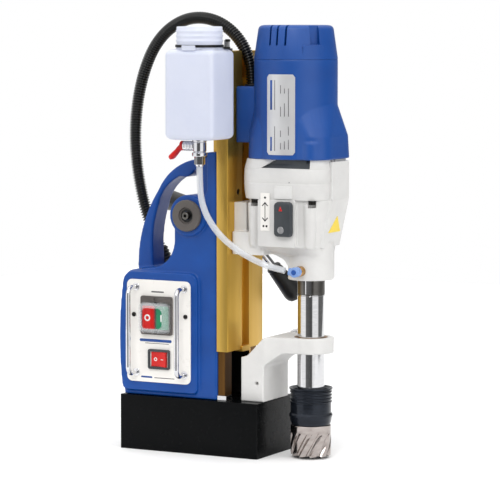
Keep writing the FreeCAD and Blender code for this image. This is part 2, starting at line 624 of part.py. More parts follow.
def gear_train():
    lay_x, lay_y = layshaft_centre()
    to_motor = math.atan2(-lay_y, MOTOR_X - lay_x)
    to_spindle = math.atan2(-lay_y, SPINDLE_X - lay_x)
    wheel = spur_gear(GEAR_MODULE, LAY_WHEEL_TEETH, lay_x, lay_y, 348, 358, to_motor)
    pinion = spur_gear(GEAR_MODULE, LAY_PINION_TEETH, lay_x, lay_y, 326, 344, to_spindle)
    shaft = rod(5, (lay_x, lay_y, 300), (lay_x, lay_y, 348))
    save(fuse(wheel, rod(6.5, (lay_x, lay_y, 344), (lay_x, lay_y, 348)), pinion, shaft), "lay_shaft")
    half_step = math.pi / SPINDLE_TEETH
    mesh = to_spindle + math.pi + half_step
    save(spur_gear(GEAR_MODULE, SPINDLE_TEETH, SPINDLE_X, 0, 328, 340, mesh, SPINDLE_R), "spindle_gear")


# ---------------------------------------------------------------- spindle, chuck and cutter
def spindle():
    body = rod(SPINDLE_R, (SPINDLE_X, 0, 84), (SPINDLE_X, 0, 344))
    body = fuse(body, rod(21.4, (SPINDLE_X, 0, 44), (SPINDLE_X, 0, 84)))
    flat = block(SPINDLE_X - 20, -20, 203, SPINDLE_X - 15, 20, 221)
    body = body.cut(flat).cut(block(SPINDLE_X + 15, -20, 203, SPINDLE_X + 20, 20, 221))
    body = body.cut(rod(SHANK_R + 0.02, (SPINDLE_X, 0, 43), (SPINDLE_X, 0, 80)))
    body = body.cut(rod(4.3, (SPINDLE_X, 0, 79), (SPINDLE_X, 0, 132)))
    save(body, "spindle")
    outer = rod(SLEEVE_R - 1.2, (SPINDLE_X, 0, 41.2), (SPINDLE_X, 0, SLEEVE_TOP))
    lip = rod(SLEEVE_R, (SPINDLE_X, 0, SLEEVE_TOP - 3.5), (SPINDLE_X, 0, SLEEVE_TOP))
    rings = []
    for i in range(5):
        low = 58 + 5.0 * i
        rings.append(rod(SLEEVE_R - 0.3, (SPINDLE_X, 0, low), (SPINDLE_X, 0, low + 2.6)))
    outer = fuse(outer, lip, *rings)
    outer = outer.cut(rod(21.4 + GAP, (SPINDLE_X, 0, 40), (SPINDLE_X, 0, SLEEVE_TOP + 1)))
    save(outer, "chuck_sleeve")
    cutter = rod(CUTTER_R, (SPINDLE_X, 0, CUTTER_BOTTOM), (SPINDLE_X, 0, CUTTER_TOP))
    cutter = fuse(cutter, rod(SHANK_R, (SPINDLE_X, 0, CUTTER_TOP), (SPINDLE_X, 0, 79)))
    cutter = cutter.cut(rod(20.5, (SPINDLE_X, 0, 0), (SPINDLE_X, 0, 33)))
    cutter = cutter.cut(rod(4.05, (SPINDLE_X, 0, 0), (SPINDLE_X, 0, 90)))
    for i in range(10):
        gullet = block(CUTTER_R - 2.6, -3.2, -14, CUTTER_R + 4, 3.2, 15)
        gullet = turned(gullet, (CUTTER_R, 0, 0), (1, 0, 0), -32)
        gullet = moved(gullet, SPINDLE_X, 0, 14)
        cutter = cutter.cut(turned(gullet, (SPINDLE_X, 0, 0), (0, 0, 1), 36 * i))
    save(cutter, "annular_cutter")
    point = taper(0.4, 4.0, (SPINDLE_X, 0, 4), (SPINDLE_X, 0, 8))
    save(fuse(rod(4.0, (SPINDLE_X, 0, 8), (SPINDLE_X, 0, 108)), point), "pilot_pin")


# ---------------------------------------------------------------- motor and covers
def motor():
    axis = MOTOR_X
    front = CASE_FRONT + SLAB_STEP
    waist = (COVER_BACK, -CASE_HALF + 0.5, front - 1, CASE_HALF - 0.5, CASE_CORNER + 0.5)
    skirt = plan_loft((COVER_BACK, -CASE_HALF, front, CASE_HALF, CASE_CORNER), CASE_TOP, waist, 399)
    skirt = fuse(skirt, plan_loft(waist, 399, (COVER_BACK, -44, 177, 44, 43.9), 437))
    shell = fuse(rod(MOTOR_R, (axis, 0, CASE_TOP), (axis, 0, COVER_TOP)), skirt)
    shell = shell.cut(rod(MOTOR_R - 4, (axis, 0, CASE_TOP - 1), (axis, 0, COVER_TOP + 1)))
    shell = shell.cut(plan_loft((79, -41, 180, 41, 20), CASE_TOP - 0.1, (82, -40, 172, 40, 39.9), 396))
    save(shell, "motor_cover")
    cap = taper(MOTOR_R, 45.5, (axis, 0, COVER_TOP), (axis, 0, CAP_TOP))
    cap = softened(cap, 4.0, lambda e: e.BoundBox.ZMin > CAP_TOP - 0.1)
    cap = cap.cut(taper(MOTOR_R - 4, 41.5, (axis, 0, COVER_TOP - 0.01), (axis, 0, CAP_TOP - 4)))
    for x in (-15, -5, 6):
        for side in (-60, 40):
            cap = cap.cut(block(axis + x, side, 510, axis + x + 2.4, side + 20, CAP_TOP + 1))
    save(cap, "motor_cap")
    save(ring(44, 24, (axis, 0, 404), (axis, 0, 472)), "motor_stator")
    armature = fuse(rod(23.4, (axis, 0, 405), (axis, 0, 470)), rod(5, (axis, 0, 362), (axis, 0, 518)),
                    rod(13, (axis, 0, 480), (axis, 0, 498)), rod(38, (axis, 0, 380), (axis, 0, 392)))
    lay_x, lay_y = layshaft_centre()
    mesh = math.atan2(lay_y, lay_x - axis) + math.pi / ARMATURE_TEETH
    pinion = spur_gear(GEAR_MODULE, ARMATURE_TEETH, axis, 0, 347, 362, mesh)
    save(fuse(armature, pinion), "armature")
    brushes = [block(axis - 5, s * 30 - 16.8, 483, axis + 5, s * 30 + 16.8, 495) for s in (-1, 1)]
    save(group(brushes), "motor_brushes")
    race = ring(10, 5 + FIT, (axis, 0, 502), (axis, 0, 514))
    rim = ring(44.5, 40, (axis, 0, 502), (axis, 0, 506))
    arms = [block(axis + x, -4, 502, axis + x + 31.5, 4, 506) for x in (-41, 9.5)]
    upper = fuse(race, rim, *arms)
    lower = rounded_block(CASE_BACK + 12, -36, CASE_FRONT - 6, 36, 18, CASE_TOP, CASE_TOP + 3)
    lower = lower.cut(rod(5 + FIT, (axis, 0, CASE_TOP - 1), (axis, 0, CASE_TOP + 4)))
    save(group([upper, lower]), "motor_bearings")
    label = ring(MOTOR_R + 0.6, MOTOR_R, (axis, 0, 377), (axis, 0, 475))
    save(label.common(rounded_plate(111, 377, 147, 475, 4, -60, -40)), "rating_label")
    box = rounded_block(SLIDE_FRONT, -28, 78, 28, 4, 390, 459)
    box = box.cut(rod(MOTOR_R, (axis, 0, 380), (axis, 0, 470))).cut(skirt)
    entry = V(*CONDUIT_ROUTE[0])
    save(box.cut(rod(CONDUIT_D / 2 + FIT, tuple(entry), (entry.x, entry.y, 460))), "wiring_box")


# ---------------------------------------------------------------- coolant tank, valve and hose
def coolant():
    body = rounded_block(TANK_X0, TANK_Y0, TANK_X1, TANK_Y1, 10, TANK_BOTTOM, TANK_SHOULDER)
    body = softened(body, 7, lambda e: e.BoundBox.ZLength < 0.1)
    wall = TANK_WALL
    inside = rounded_block(TANK_X0 + wall, TANK_Y0 + wall, TANK_X1 - wall, TANK_Y1 - wall, 8,
                           TANK_BOTTOM + wall, TANK_SHOULDER - wall)
    inside = softened(inside, 5, lambda e: e.BoundBox.ZLength < 0.1)
    threads = [rod(NECK_R + 0.9, (TANK_X, TANK_Y, z), (TANK_X, TANK_Y, z + 1.6)) for z in (515, 521, 527)]
    body = fuse(body, rod(NECK_R, (TANK_X, TANK_Y, TANK_SHOULDER - 5), (TANK_X, TANK_Y, TANK_TOP)), *threads)
    body = body.cut(inside)
    body = body.cut(rod(NECK_R - wall, (TANK_X, TANK_Y, TANK_SHOULDER - 6), (TANK_X, TANK_Y, TANK_TOP + 1)))
    body = body.cut(rod(4, (TANK_X, TANK_Y, TANK_BOTTOM - 1), (TANK_X, TANK_Y, TANK_BOTTOM + 4)))
    save(body, "coolant_tank")
    band = ring(NECK_R + 2, NECK_R + 0.1, (TANK_X, TANK_Y, 506), (TANK_X, TANK_Y, 511.5))
    save(band, "tank_strap")
    a = math.radians(28)
    at = V(TANK_X + (NECK_R + 5.5) * math.cos(a), TANK_Y + (NECK_R + 5.5) * math.sin(a), 506)
    buckle = block(at.x - 3.4, at.y - 6, 505.5, at.x + 5, at.y + 6, 518)
    buckle = turned(buckle, tuple(at), (0, 0, 1), 28)
    neck = rod(NECK_R + 2, (TANK_X, TANK_Y, 500), (TANK_X, TANK_Y, 520))
    plate = block(40, -48, SLIDE_TOP, 53, -30, SLIDE_TOP + 3.5)
    lug = block(40, -60, TANK_SHOULDER + 1, 53, -30, TANK_SHOULDER + 5)
    save(group([buckle.cut(neck), fuse(plate, lug).cut(neck)]), "strap_clip")
    parts = [
        rod(9, (TANK_X, TANK_Y, 394), (TANK_X, TANK_Y, TANK_BOTTOM)),
        rod(7.5, (TANK_X, TANK_Y, 379), (TANK_X, TANK_Y, 394)),
        rod(9.5, (TANK_X, TANK_Y, 374.5), (TANK_X, TANK_Y, 379)),
        rod(5.5, (TANK_X - 18, TANK_Y, 387), (TANK_X, TANK_Y, 387)),
        rod(4, (TANK_X, TANK_Y, TANK_BOTTOM), (TANK_X, TANK_Y, 402)),
        hex_head(11.5, (TANK_X, TANK_Y, 364), (TANK_X, TANK_Y, 374.5)),
        rod(4.6, (TANK_X, TANK_Y, 362), (TANK_X, TANK_Y, 364)),
    ]
    save(fuse(*parts), "coolant_valve")
    lever = fuse(rod(6.2, (TANK_X - 22, TANK_Y, 387), (TANK_X - 18 - FIT, TANK_Y, 387)), lever_blade())
    save(lever, "valve_lever")
    x, z = SPINDLE_X, FITTING_Z
    end, before = V(*HOSE_ROUTE[-1]), V(*HOSE_ROUTE[-2])
    stub = rod(5.2, tuple(end), tuple(end + (end - before).normalize() * 9))
    elbow = fuse(rod(5, (x, -38, z), (x, -28.3, z)), rod(7.5, (x, -50, z), (x, -38, z)),
                 rod(4.6, (x, -52, z), (x, -50, z)), stub)
    save(elbow.cut(rod(NOSE_R, (x, 0, z - 20), (x, 0, z + 20))), "hose_elbow")
    save(cord_tube("coolant_hose", HOSE_ROUTE, HOSE_D), "coolant_hose")


def lever_blade():
    """The red lever: a flat blade that leans down and away from the valve."""
    blade = rounded_plate(-27, -5.5, 2, 5.5, 4, -2.2, 2.2)
    blade = turned(blade, (0, 0, 0), (1, 0, 0), 90)
    blade = turned(blade, (0, 0, 0), (0, 1, 0), -45)
    return moved(blade, TANK_X - 21, TANK_Y, 387)


magnet()
housing()
gland()
controls()
guides()
support()
slide()
rack()
feed_handle()
gearbox()
gear_train()
spindle()
motor()
coolant()
save(cord_tube("conduit", CONDUIT_ROUTE, CONDUIT_D), "conduit")
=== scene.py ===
"""The looks of the magnetic drill press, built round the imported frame. Shapes are drawn in millimetres."""
import json
import math

import bmesh
import bpy
from mathutils import Matrix, Vector


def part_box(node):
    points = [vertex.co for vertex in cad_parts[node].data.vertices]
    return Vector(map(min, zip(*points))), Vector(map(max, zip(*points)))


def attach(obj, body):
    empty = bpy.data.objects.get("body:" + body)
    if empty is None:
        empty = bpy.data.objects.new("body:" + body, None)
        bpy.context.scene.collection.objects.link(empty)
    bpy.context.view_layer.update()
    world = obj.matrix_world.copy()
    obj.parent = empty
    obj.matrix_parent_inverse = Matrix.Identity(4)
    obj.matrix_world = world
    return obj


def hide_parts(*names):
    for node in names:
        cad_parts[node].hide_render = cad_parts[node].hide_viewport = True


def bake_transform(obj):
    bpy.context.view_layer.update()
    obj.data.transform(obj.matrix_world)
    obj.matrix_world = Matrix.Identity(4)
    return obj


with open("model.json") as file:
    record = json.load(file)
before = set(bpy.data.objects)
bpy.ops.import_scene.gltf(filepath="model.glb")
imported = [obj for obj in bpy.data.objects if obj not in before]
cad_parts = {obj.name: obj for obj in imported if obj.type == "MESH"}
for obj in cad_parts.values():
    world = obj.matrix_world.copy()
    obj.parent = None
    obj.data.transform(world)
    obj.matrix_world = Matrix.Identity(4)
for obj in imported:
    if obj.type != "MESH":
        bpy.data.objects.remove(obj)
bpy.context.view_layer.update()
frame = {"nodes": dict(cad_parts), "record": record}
MM = 0.001


def span(node):
    """A CAD node's lowest and highest corners, in millimetres."""
    low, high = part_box(node)
    return low / MM, high / MM


def middle(node):
    low, high = span(node)
    return (low + high) / 2


# ---------------------------------------------------------------- places read from the frame
SPINDLE = middle("spindle")                 # the spindle's axis, in x and y
MOTOR = middle("armature")                  # the motor's axis
FEED = middle("shaft_end_disc")             # the feed shaft's axis, in x and z
NECK = middle("tank_strap")                 # the tank neck's axis
FILM_R = 52.0                               # radius at which widths round the motor are measured

CONDUIT_ROUTE = [
    (.0645, 0, .450), (.0645, 0, .479), (.0542, 0, .5072), (.0331, .0005, .530), (.0045, .002, .543),
    (-.0275, .0045, .5435), (-.057, .008, .531), (-.080, .012, .5104), (-.096, .0155, .4838),
    (-.1075, .0185, .4528), (-.1145, .021, .4195), (-.1175, .0235, .3855), (-.116, .026, .3525),
    (-.1115, .028, .322), (-.105, .0295, .2955), (-.096, .030, .271), (-.0846, .030, .249),
]
CONDUIT_D = 0.0152
HOSE_ROUTE = [
    (.0325, -.078, .362), (.0325, -.078, .343), (.0338, -.0775, .3238), (.039, -.0758, .305),
    (.048, -.0723, .288), (.0595, -.0676, .2735), (.073, -.0618, .2615), (.0875, -.0555, .2515),
    (.102, -.0502, .2438), (.117, -.0462, .2385), (.1325, -.044, .2355),
]
HOSE_D = .008


# ---------------------------------------------------------------- drawing shapes
def unit_pair(direction):
    """Two directions at right angles to each other and to this one."""
    aside = Vector((0, 0, 1)) if abs(direction.z) < 0.9 else Vector((1, 0, 0))
    first = aside.cross(direction).normalized()
    return first, direction.cross(first).normalized()


def skin(shape, rings, looped=False):
    """A closed surface through rings of points, each with as many points as the next."""
    rows = [[shape.verts.new(point) for point in ring] for ring in rings]
    count = len(rows[0])
    pairs = list(zip(rows, rows[1:]))
    if looped:
        pairs.append((rows[-1], rows[0]))
    for low, high in pairs:
        for i in range(count):
            j = (i + 1) % count
            shape.faces.new((low[i], low[j], high[j], high[i]))
    if not looped:
        shape.faces.new(list(reversed(rows[0])))
        shape.faces.new(rows[-1])


def circle(centre, first, second, radius, sides):
    """Points round a circle in the plane of two directions."""
    turns = [math.tau * i / sides for i in range(sides)]
    return [centre + (first * math.cos(a) + second * math.sin(a)) * radius for a in turns]


def lathe(shape, start, direction, profile, sides=96, looped=False):
    """Turns a profile of (distance along the axis, radius) about an axis through start."""
    way = Vector(direction).normalized()
    first, second = unit_pair(way)
    rings = [circle(Vector(start) + way * along, first, second, radius, sides) for along, radius in profile]
    skin(shape, rings, looped)


def rod(shape, start, end, radius, sides=64):
    run = Vector(end) - Vector(start)
    lathe(shape, start, run, [(0, radius), (run.length, radius)], sides)


def ring(shape, start, end, outer, inner, sides=96):
    run = Vector(end) - Vector(start)
    profile = [(0, inner), (0, outer), (run.length, outer), (run.length, inner)]
    lathe(shape, start, run, profile, sides, looped=True)


def arc_points(start, through, end, step=2.5):
    """Points along the arc after start, up to end."""
    (ax, ay), (bx, by), (cx, cy) = start, through, end
    d = 2 * (ax * (by - cy) + bx * (cy - ay) + cx * (ay - by))
    a2, b2, c2 = ax * ax + ay * ay, bx * bx + by * by, cx * cx + cy * cy
    ox = (a2 * (by - cy) + b2 * (cy - ay) + c2 * (ay - by)) / d
    oy = (a2 * (cx - bx) + b2 * (ax - cx) + c2 * (bx - ax)) / d
    radius = math.hypot(ax - ox, ay - oy)
    first, mid, last = (math.atan2(y - oy, x - ox) for x, y in (start, through, end))
    sweep = (last - first) % math.tau
    if (mid - first) % math.tau > sweep:
        sweep -= math.tau
    count = max(3, round(abs(sweep) * radius / step))
    turns = [first + sweep * i / count for i in range(1, count + 1)]
    return [(ox + radius * math.cos(a), oy + radius * math.sin(a)) for a in turns]


def outline(steps, step=2.5):
    """Samples an outline whose steps are points, or pairs of an arc's middle and end."""
    points = [steps[0]]
    for part in steps[1:]:
        if isinstance(part[0], tuple):
            points += arc_points(points[-1], part[0], part[1], step)
        else:
            points.append(part)
    return points


def rounded(a0, b0, a1, b1, r, count=6):
    """A rectangle with round corners, as points."""
    points = []
    for a, b, turn in ((a1 - r, b0 + r, -1), (a1 - r, b1 - r, 0), (a0 + r, b1 - r, 1), (a0 + r, b0 + r, 2)):
        for i in range(count + 1):
            angle = (turn + i / count) * math.pi / 2
            points.append((a + r * math.cos(angle), b + r * math.sin(angle)))
    return points


def placed(axis, flat, level):
    """Flat points at a level along an axis: X has (y, z), Y has (x, z) and Z has (x, y)."""
    at = {"x": lambda a, b: (level, a, b), "y": lambda a, b: (a, level, b), "z": lambda a, b: (a, b, level)}
    return [Vector(at[axis](a, b)) for a, b in flat]


def face_ring(low, high, y, inset, r, count=6):
    """The round-cornered outline of a node's face, set in all round, at a level along Y."""
    return placed("y", rounded(low.x + inset, low.z + inset, high.x - inset, high.z - inset, r, count), y)


def slab(shape, axis, flat, low, high):
    """An outline drawn out along an axis."""
    skin(shape, [placed(axis, flat, low), placed(axis, flat, high)])


def box(shape, low, high, r=0.0):
    x0, y0, z0 = low
    x1, y1, z1 = high
    flat = rounded(x0, y0, x1, y1, r) if r else [(x0, y0), (x1, y0), (x1, y1), (x0, y1)]
    slab(shape, "z", flat, z0, z1)


def turned_box(shape, low, high, r, x, turn):
    """A box drawn about the origin, then turned about the upright axis and moved to x."""
    drawn = bmesh.new()
    box(drawn, low, high, r)
    drawn.transform(Matrix.Translation((x, 0, 0)) @ Matrix.Rotation(turn, 4, "Z"))
    mesh = bpy.data.meshes.new("turned")
    drawn.to_mesh(mesh)
    drawn.free()
    shape.from_mesh(mesh)
    bpy.data.meshes.remove(mesh)


def hexagon(shape, start, end, across):
    run = Vector(end) - Vector(start)
    lathe(shape, start, run, [(0, across / math.sqrt(3)), (run.length, across / math.sqrt(3))], 6)


def sweep(shape, points, radius, sides=24, looped=False):
    """A tube along points. radius is a number, or a function of the distance along it."""
    points = [Vector(p) for p in points]
    ways = []
    for i in range(len(points)):
        ways.append((points[min(i + 1, len(points) - 1)] - points[max(i - 1, 0)]).normalized())
    first = unit_pair(ways[0])[0]
    rings, distance = [], 0.0
    for i, (point, way) in enumerate(zip(points, ways)):
        if i:
            distance += (point - points[i - 1]).length
        first = (first - way * first.dot(way)).normalized()
        second = way.cross(first)
        r = radius(distance) if callable(radius) else radius
        rings.append(circle(point, first, second, r, sides))
    skin(shape, rings, looped)


# ---------------------------------------------------------------- making pieces of shapes
def mesh_of(name, shape):
    """The shape as a mesh in metres, with its faces turned outwards."""
    bmesh.ops.recalc_face_normals(shape, faces=shape.faces)
    shape.transform(Matrix.Scale(MM, 4))
    mesh = bpy.data.meshes.new(name)
    shape.to_mesh(mesh)
    shape.free()
    for polygon in mesh.polygons:
        polygon.use_smooth = True
    return mesh


def piece(name, shape, finish, body, stands_for=(), bevel=0.0, segments=3, angle=32):
    """Makes a piece that rides on a body, with its record's finish and softened edges."""
    made = bpy.data.objects.new(name, mesh_of(name, shape) if isinstance(shape, bmesh.types.BMesh) else shape)
    bpy.context.scene.collection.objects.link(made)
    made.data.materials.clear()
    made.data.materials.append(FINISHES[finish])
    if bevel:
        edge = made.modifiers.new("edges", "BEVEL")
        edge.width, edge.segments, edge.limit_method = bevel * MM, segments, "ANGLE"
        edge.angle_limit, edge.harden_normals, edge.use_clamp_overlap = math.radians(angle), True, True
        edge.miter_outer = "MITER_ARC"
    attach(made, body)
    if stands_for:
        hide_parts(*([stands_for] if isinstance(stands_for, str) else stands_for))
    return made


def settled(made):
    """A copy of a temporary object's mesh with its modifiers applied; the object is removed."""
    bpy.context.view_layer.update()
    mesh = bpy.data.meshes.new_from_object(made.evaluated_get(bpy.context.evaluated_depsgraph_get()))
    bpy.data.objects.remove(made)
    return mesh


def loose(name, mesh):
    made = bpy.data.objects.new(name, mesh)
    bpy.context.scene.collection.objects.link(made)
    return made


def less(name, mesh, hollow, overlapping=False, sharp=0):
    """A mesh less a hollow shape, with edges over the sharp angle, in degrees, kept sharp."""
    made, cutter = loose(name, mesh), loose(name + "_cut", mesh_of(name + "_cut", hollow))
    cut = made.modifiers.new("cut", "BOOLEAN")
    cut.object, cut.operation, cut.solver, cut.use_self = cutter, "DIFFERENCE", "EXACT", overlapping
    mesh = settled(made)
    bpy.data.objects.remove(cutter)
    if sharp:
        mesh.set_sharp_from_angle(angle=math.radians(sharp))
    return mesh


def carved(name, solid, hollow, overlapping=True):
    """The solid shape less the hollow one, as a mesh. Both may be made of overlapping shapes."""
    return less(name, mesh_of(name, solid), hollow, overlapping)


def cast(name, solid, hollow=None, grain=1.3, passes=10):
    """A casting: overlapping shapes run together, with every edge and inner corner softened."""
    made = loose(name, carved(name, solid, hollow) if hollow else mesh_of(name, solid))
    blend = made.modifiers.new("blend", "REMESH")
    blend.mode, blend.voxel_size, blend.use_smooth_shade = "VOXEL", grain * MM, True
    soften = made.modifiers.new("soften", "SMOOTH")
    soften.factor, soften.iterations = 0.5, passes
    return settled(made)


# ---------------------------------------------------------------- finishes
FINISHES = {}


def linear(red, green, blue):
    """A screen colour, 0 to 255, as the shader's colour."""
    def one(value):
        value /= 255
        return value / 12.92 if value <= 0.04045 else ((value + 0.055) / 1.055) ** 2.4
    return (one(red), one(green), one(blue), 1.0)


def add(tree, kind, inputs=None, **settings):
    node = tree.nodes.new("ShaderNode" + kind)
    for key, value in settings.items():
        setattr(node, key, value)
    for key, value in (inputs or {}).items():
        if isinstance(value, bpy.types.NodeSocket):
            tree.links.new(value, node.inputs[key])
        else:
            node.inputs[key].default_value = value
    return node


def mix(tree, share, first, second, kind="MIX"):
    return add(tree, "Mix", {0: share, 6: first, 7: second}, data_type="RGBA", blend_type=kind).outputs[2]


def spread(tree, value, low, high, start=0.3, end=0.7):
    """Takes a value between start and end to a value between low and high."""
    settings = {"Value": value, "From Min": start, "From Max": end, "To Min": low, "To Max": high}
    return add(tree, "MapRange", settings).outputs[0]


def noise(tree, where, scale, detail=4.0, rough=0.5):
    return add(tree, "TexNoise", {"Vector": where, "Scale": scale, "Detail": detail,
                                  "Roughness": rough}).outputs[0]


def coordinates(tree, stretch=(1, 1, 1)):
    spot = add(tree, "TexCoord").outputs["Object"]
    return add(tree, "Mapping", {"Vector": spot, "Scale": stretch}).outputs[0]


def bumped(tree, heights):
    """A normal from (height, depth in metres) pairs, one laid on the next."""
    normal = None
    for height, depth in heights:
        settings = {"Height": height, "Distance": depth, "Strength": 1.0}
        if normal:
            settings["Normal"] = normal
        normal = add(tree, "Bump", settings).outputs[0]
    return normal


def finish(name, colour, other=None, metal=0.0, rough=(0.35, 0.5), fine=(1400, 0.00003), broad=(90, 0.0002),
           stretch=(1, 1, 1), wear=None, dirt=0.25, plain=None):
    """A surface with colour drift, uneven gloss, two sizes of relief and, on edges, wear."""
    material = bpy.data.materials.new(name)
    material.use_nodes = True
    tree = material.node_tree
    shader = tree.nodes["Principled BSDF"]
    where = coordinates(tree, stretch)
    first = linear(*colour)
    second = linear(*other) if other else tuple(c * 0.86 for c in first[:3]) + (1.0,)
    base = mix(tree, spread(tree, noise(tree, where, broad[0] * 0.35, 3), 0, 1), first, second)
    small = noise(tree, where, fine[0], 3, 0.6)
    if dirt:
        shade = tuple(c * 0.55 for c in first[:3]) + (1.0,)
        base = mix(tree, spread(tree, noise(tree, where, 38, 8, 0.65), 0, dirt, 0.52, 0.8), base, shade)
    if wear:
        point = add(tree, "NewGeometry").outputs["Pointiness"]
        edge = spread(tree, point, 0, wear[1], 0.53, 0.60)
        scuffed = add(tree, "Math", {0: edge, 1: noise(tree, where, 260, 5, 0.7)},
                      operation="MULTIPLY").outputs[0]
        base = mix(tree, scuffed, base, linear(*wear[0]))
    tree.links.new(base, shader.inputs["Base Color"])
    gloss = spread(tree, noise(tree, where, broad[0] * 1.7, 6, 0.6), rough[0], rough[1])
    tree.links.new(gloss, shader.inputs["Roughness"])
    relief = bumped(tree, [(noise(tree, where, broad[0], 2), broad[1]), (small, fine[1])])
    tree.links.new(relief, shader.inputs["Normal"])
    shader.inputs["Metallic"].default_value = metal
    for socket, value in (plain or {}).items():
        shader.inputs[socket].default_value = value
    FINISHES[name] = material


COATED = {"Coat Weight": 0.12, "Coat Roughness": 0.2, "Specular IOR Level": 0.28}
SOFT_SHEEN = {"Specular IOR Level": 0.35}

finish("blue_enamel", (4, 70, 150), (2, 62, 136), rough=(0.34, 0.44), fine=(1100, 0.00006),
       broad=(70, 0.0004), wear=((70, 120, 195), 0.35), plain=COATED)
finish("blue_plastic", (8, 72, 150), (5, 64, 138), rough=(0.4, 0.5), fine=(2600, 0.00004), broad=(40, 0.0001),
       wear=((62, 112, 188), 0.3), dirt=0.15)
finish("white_casting", (214, 213, 211), (204, 203, 201), rough=(0.36, 0.48), fine=(900, 0.00007),
       broad=(80, 0.0005), wear=((236, 236, 235), 0.4), dirt=0.12, plain=COATED)
finish("black_enamel", (3, 4, 5), (6, 7, 8), rough=(0.2, 0.3), fine=(1500, 0.000008), broad=(60, 0.0002),
       wear=((70, 70, 70), 0.3), dirt=0.1, plain={"Specular IOR Level": 0.06})
finish("gold_anodised", (226, 184, 84), (212, 168, 72), metal=0.95, rough=(0.3, 0.42), fine=(1800, 0.00002),
       broad=(160, 0.00006), stretch=(1, 1, 0.02), wear=((232, 200, 120), 0.5), dirt=0.1,
       plain={"Anisotropic": 0.5})
# A darker brown copy of the gold anodising: painted shade for gold anodised parts that stand in shadow.
finish("bronze_anodised", (120, 84, 36), (88, 60, 26), metal=0.85, rough=(0.35, 0.5), fine=(1800, 0.00002),
       broad=(160, 0.00006), stretch=(1, 1, 0.02), dirt=0.3)
finish("ground_steel", (214, 214, 215), (202, 202, 204), metal=1.0, rough=(0.05, 0.1), fine=(2400, 0.000001),
       broad=(300, 0.000003), stretch=(1, 1, 8), dirt=0.04)
finish("hardened_steel", (112, 110, 106), (86, 84, 82), metal=1.0, rough=(0.28, 0.42), fine=(1600, 0.00002),
       broad=(200, 0.00004), dirt=0.3)
finish("chrome_plate", (226, 226, 228), (206, 206, 210), metal=1.0, rough=(0.05, 0.12), fine=(1200, 0.000003),
       broad=(120, 0.00002), dirt=0.05)
finish("blued_steel", (36, 41, 50), (27, 31, 38), metal=0.6, rough=(0.16, 0.24), fine=(1700, 0.00002),
       broad=(180, 0.00005), stretch=(1, 1, 6), wear=((120, 126, 134), 0.4), plain=COATED)
finish("tool_steel", (180, 172, 168), (158, 149, 145), metal=1.0, rough=(0.1, 0.18), fine=(2200, 0.000003),
       broad=(240, 0.000006), stretch=(1, 1, 3), dirt=0.12, wear=((236, 232, 228), 0.5))
finish("white_panel", (236, 233, 228), (230, 227, 222), rough=(0.26, 0.34), fine=(2200, 0.00001),
       broad=(50, 0.0001), dirt=0.06, plain={"Specular IOR Level": 0.5})
finish("grey_plastic", (92, 87, 84), (82, 77, 74), rough=(0.42, 0.55), fine=(1900, 0.00004),
       broad=(90, 0.0001), wear=((140, 136, 132), 0.3), plain=SOFT_SHEEN)
finish("dark_grey_plastic", (62, 66, 70), (52, 56, 60), rough=(0.36, 0.48), fine=(1900, 0.00003),
       broad=(90, 0.0001), wear=((110, 114, 118), 0.35), plain=SOFT_SHEEN)
finish("black_plastic", (24, 24, 25), (18, 18, 19), rough=(0.32, 0.45), fine=(1900, 0.00004),
       broad=(110, 0.0002), wear=((66, 66, 66), 0.35), dirt=0.1, plain=SOFT_SHEEN)
finish("black_plastic#conduit", (14, 15, 14), (9, 10, 9), rough=(0.12, 0.2), fine=(1500, 0.000004),
       broad=(110, 0.0001), dirt=0.0, plain={"Specular IOR Level": 0.5})
finish("red_plastic", (206, 30, 26), (188, 24, 22), rough=(0.26, 0.38), fine=(1700, 0.00002),
       broad=(80, 0.00008), dirt=0.12, plain=COATED)
finish("green_plastic", (24, 132, 92), (20, 116, 80), rough=(0.26, 0.38), fine=(1700, 0.00002),
       broad=(80, 0.00008), dirt=0.1, plain=COATED)
finish("white_panel#white", (244, 244, 242), (236, 236, 234), rough=(0.3, 0.4), dirt=0.0)
finish("brass", (196, 154, 92), (174, 132, 74), metal=1.0, rough=(0.18, 0.3), fine=(1700, 0.00001),
       broad=(200, 0.00003), dirt=0.2)
finish("bronze_bush", (150, 112, 66), (126, 92, 52), metal=1.0, rough=(0.35, 0.5), fine=(1200, 0.00003),
       broad=(200, 0.00005), dirt=0.4)
finish("zinc_fastener", (168, 168, 170), (140, 140, 142), metal=1.0, rough=(0.24, 0.38), fine=(1500, 0.00001),
       broad=(220, 0.00004), dirt=0.25)
finish("zinc_fastener#dark", (58, 56, 54), (40, 39, 38), metal=1.0, rough=(0.3, 0.45), fine=(1500, 0.00001),
       broad=(220, 0.00004), dirt=0.2)
finish("silver_label", (208, 208, 209), (196, 196, 198), metal=0.35, rough=(0.3, 0.4), fine=(2200, 0.000006),
       broad=(60, 0.00004), dirt=0.08)
finish("yellow_label", (236, 206, 34), (226, 194, 26), rough=(0.3, 0.4), fine=(2200, 0.00001),
       broad=(60, 0.00004), dirt=0.08)
finish("circuit_board", (24, 92, 48), (18, 74, 38), rough=(0.3, 0.45), fine=(600, 0.00005),
       broad=(260, 0.0001))
finish("copper_winding", (176, 96, 52), (150, 78, 40), metal=0.8, rough=(0.25, 0.4), fine=(1400, 0.0001),
       broad=(500, 0.0002), stretch=(1, 1, 12))
finish("potting_resin", (34, 30, 30), (26, 23, 23), rough=(0.3, 0.5), fine=(700, 0.00004), broad=(60, 0.0004))
finish("white_panel#blue", (22, 74, 150), (18, 66, 138), rough=(0.35, 0.45), dirt=0.0)
finish("white_panel#grey", (96, 96, 98), (84, 84, 86), rough=(0.4, 0.5), dirt=0.0)
finish("white_panel#black", (20, 20, 20), (28, 28, 28), rough=(0.4, 0.5), dirt=0.0)
finish("blue_plastic#pale", (128, 160, 212), (112, 146, 204), rough=(0.25, 0.35), dirt=0.05)
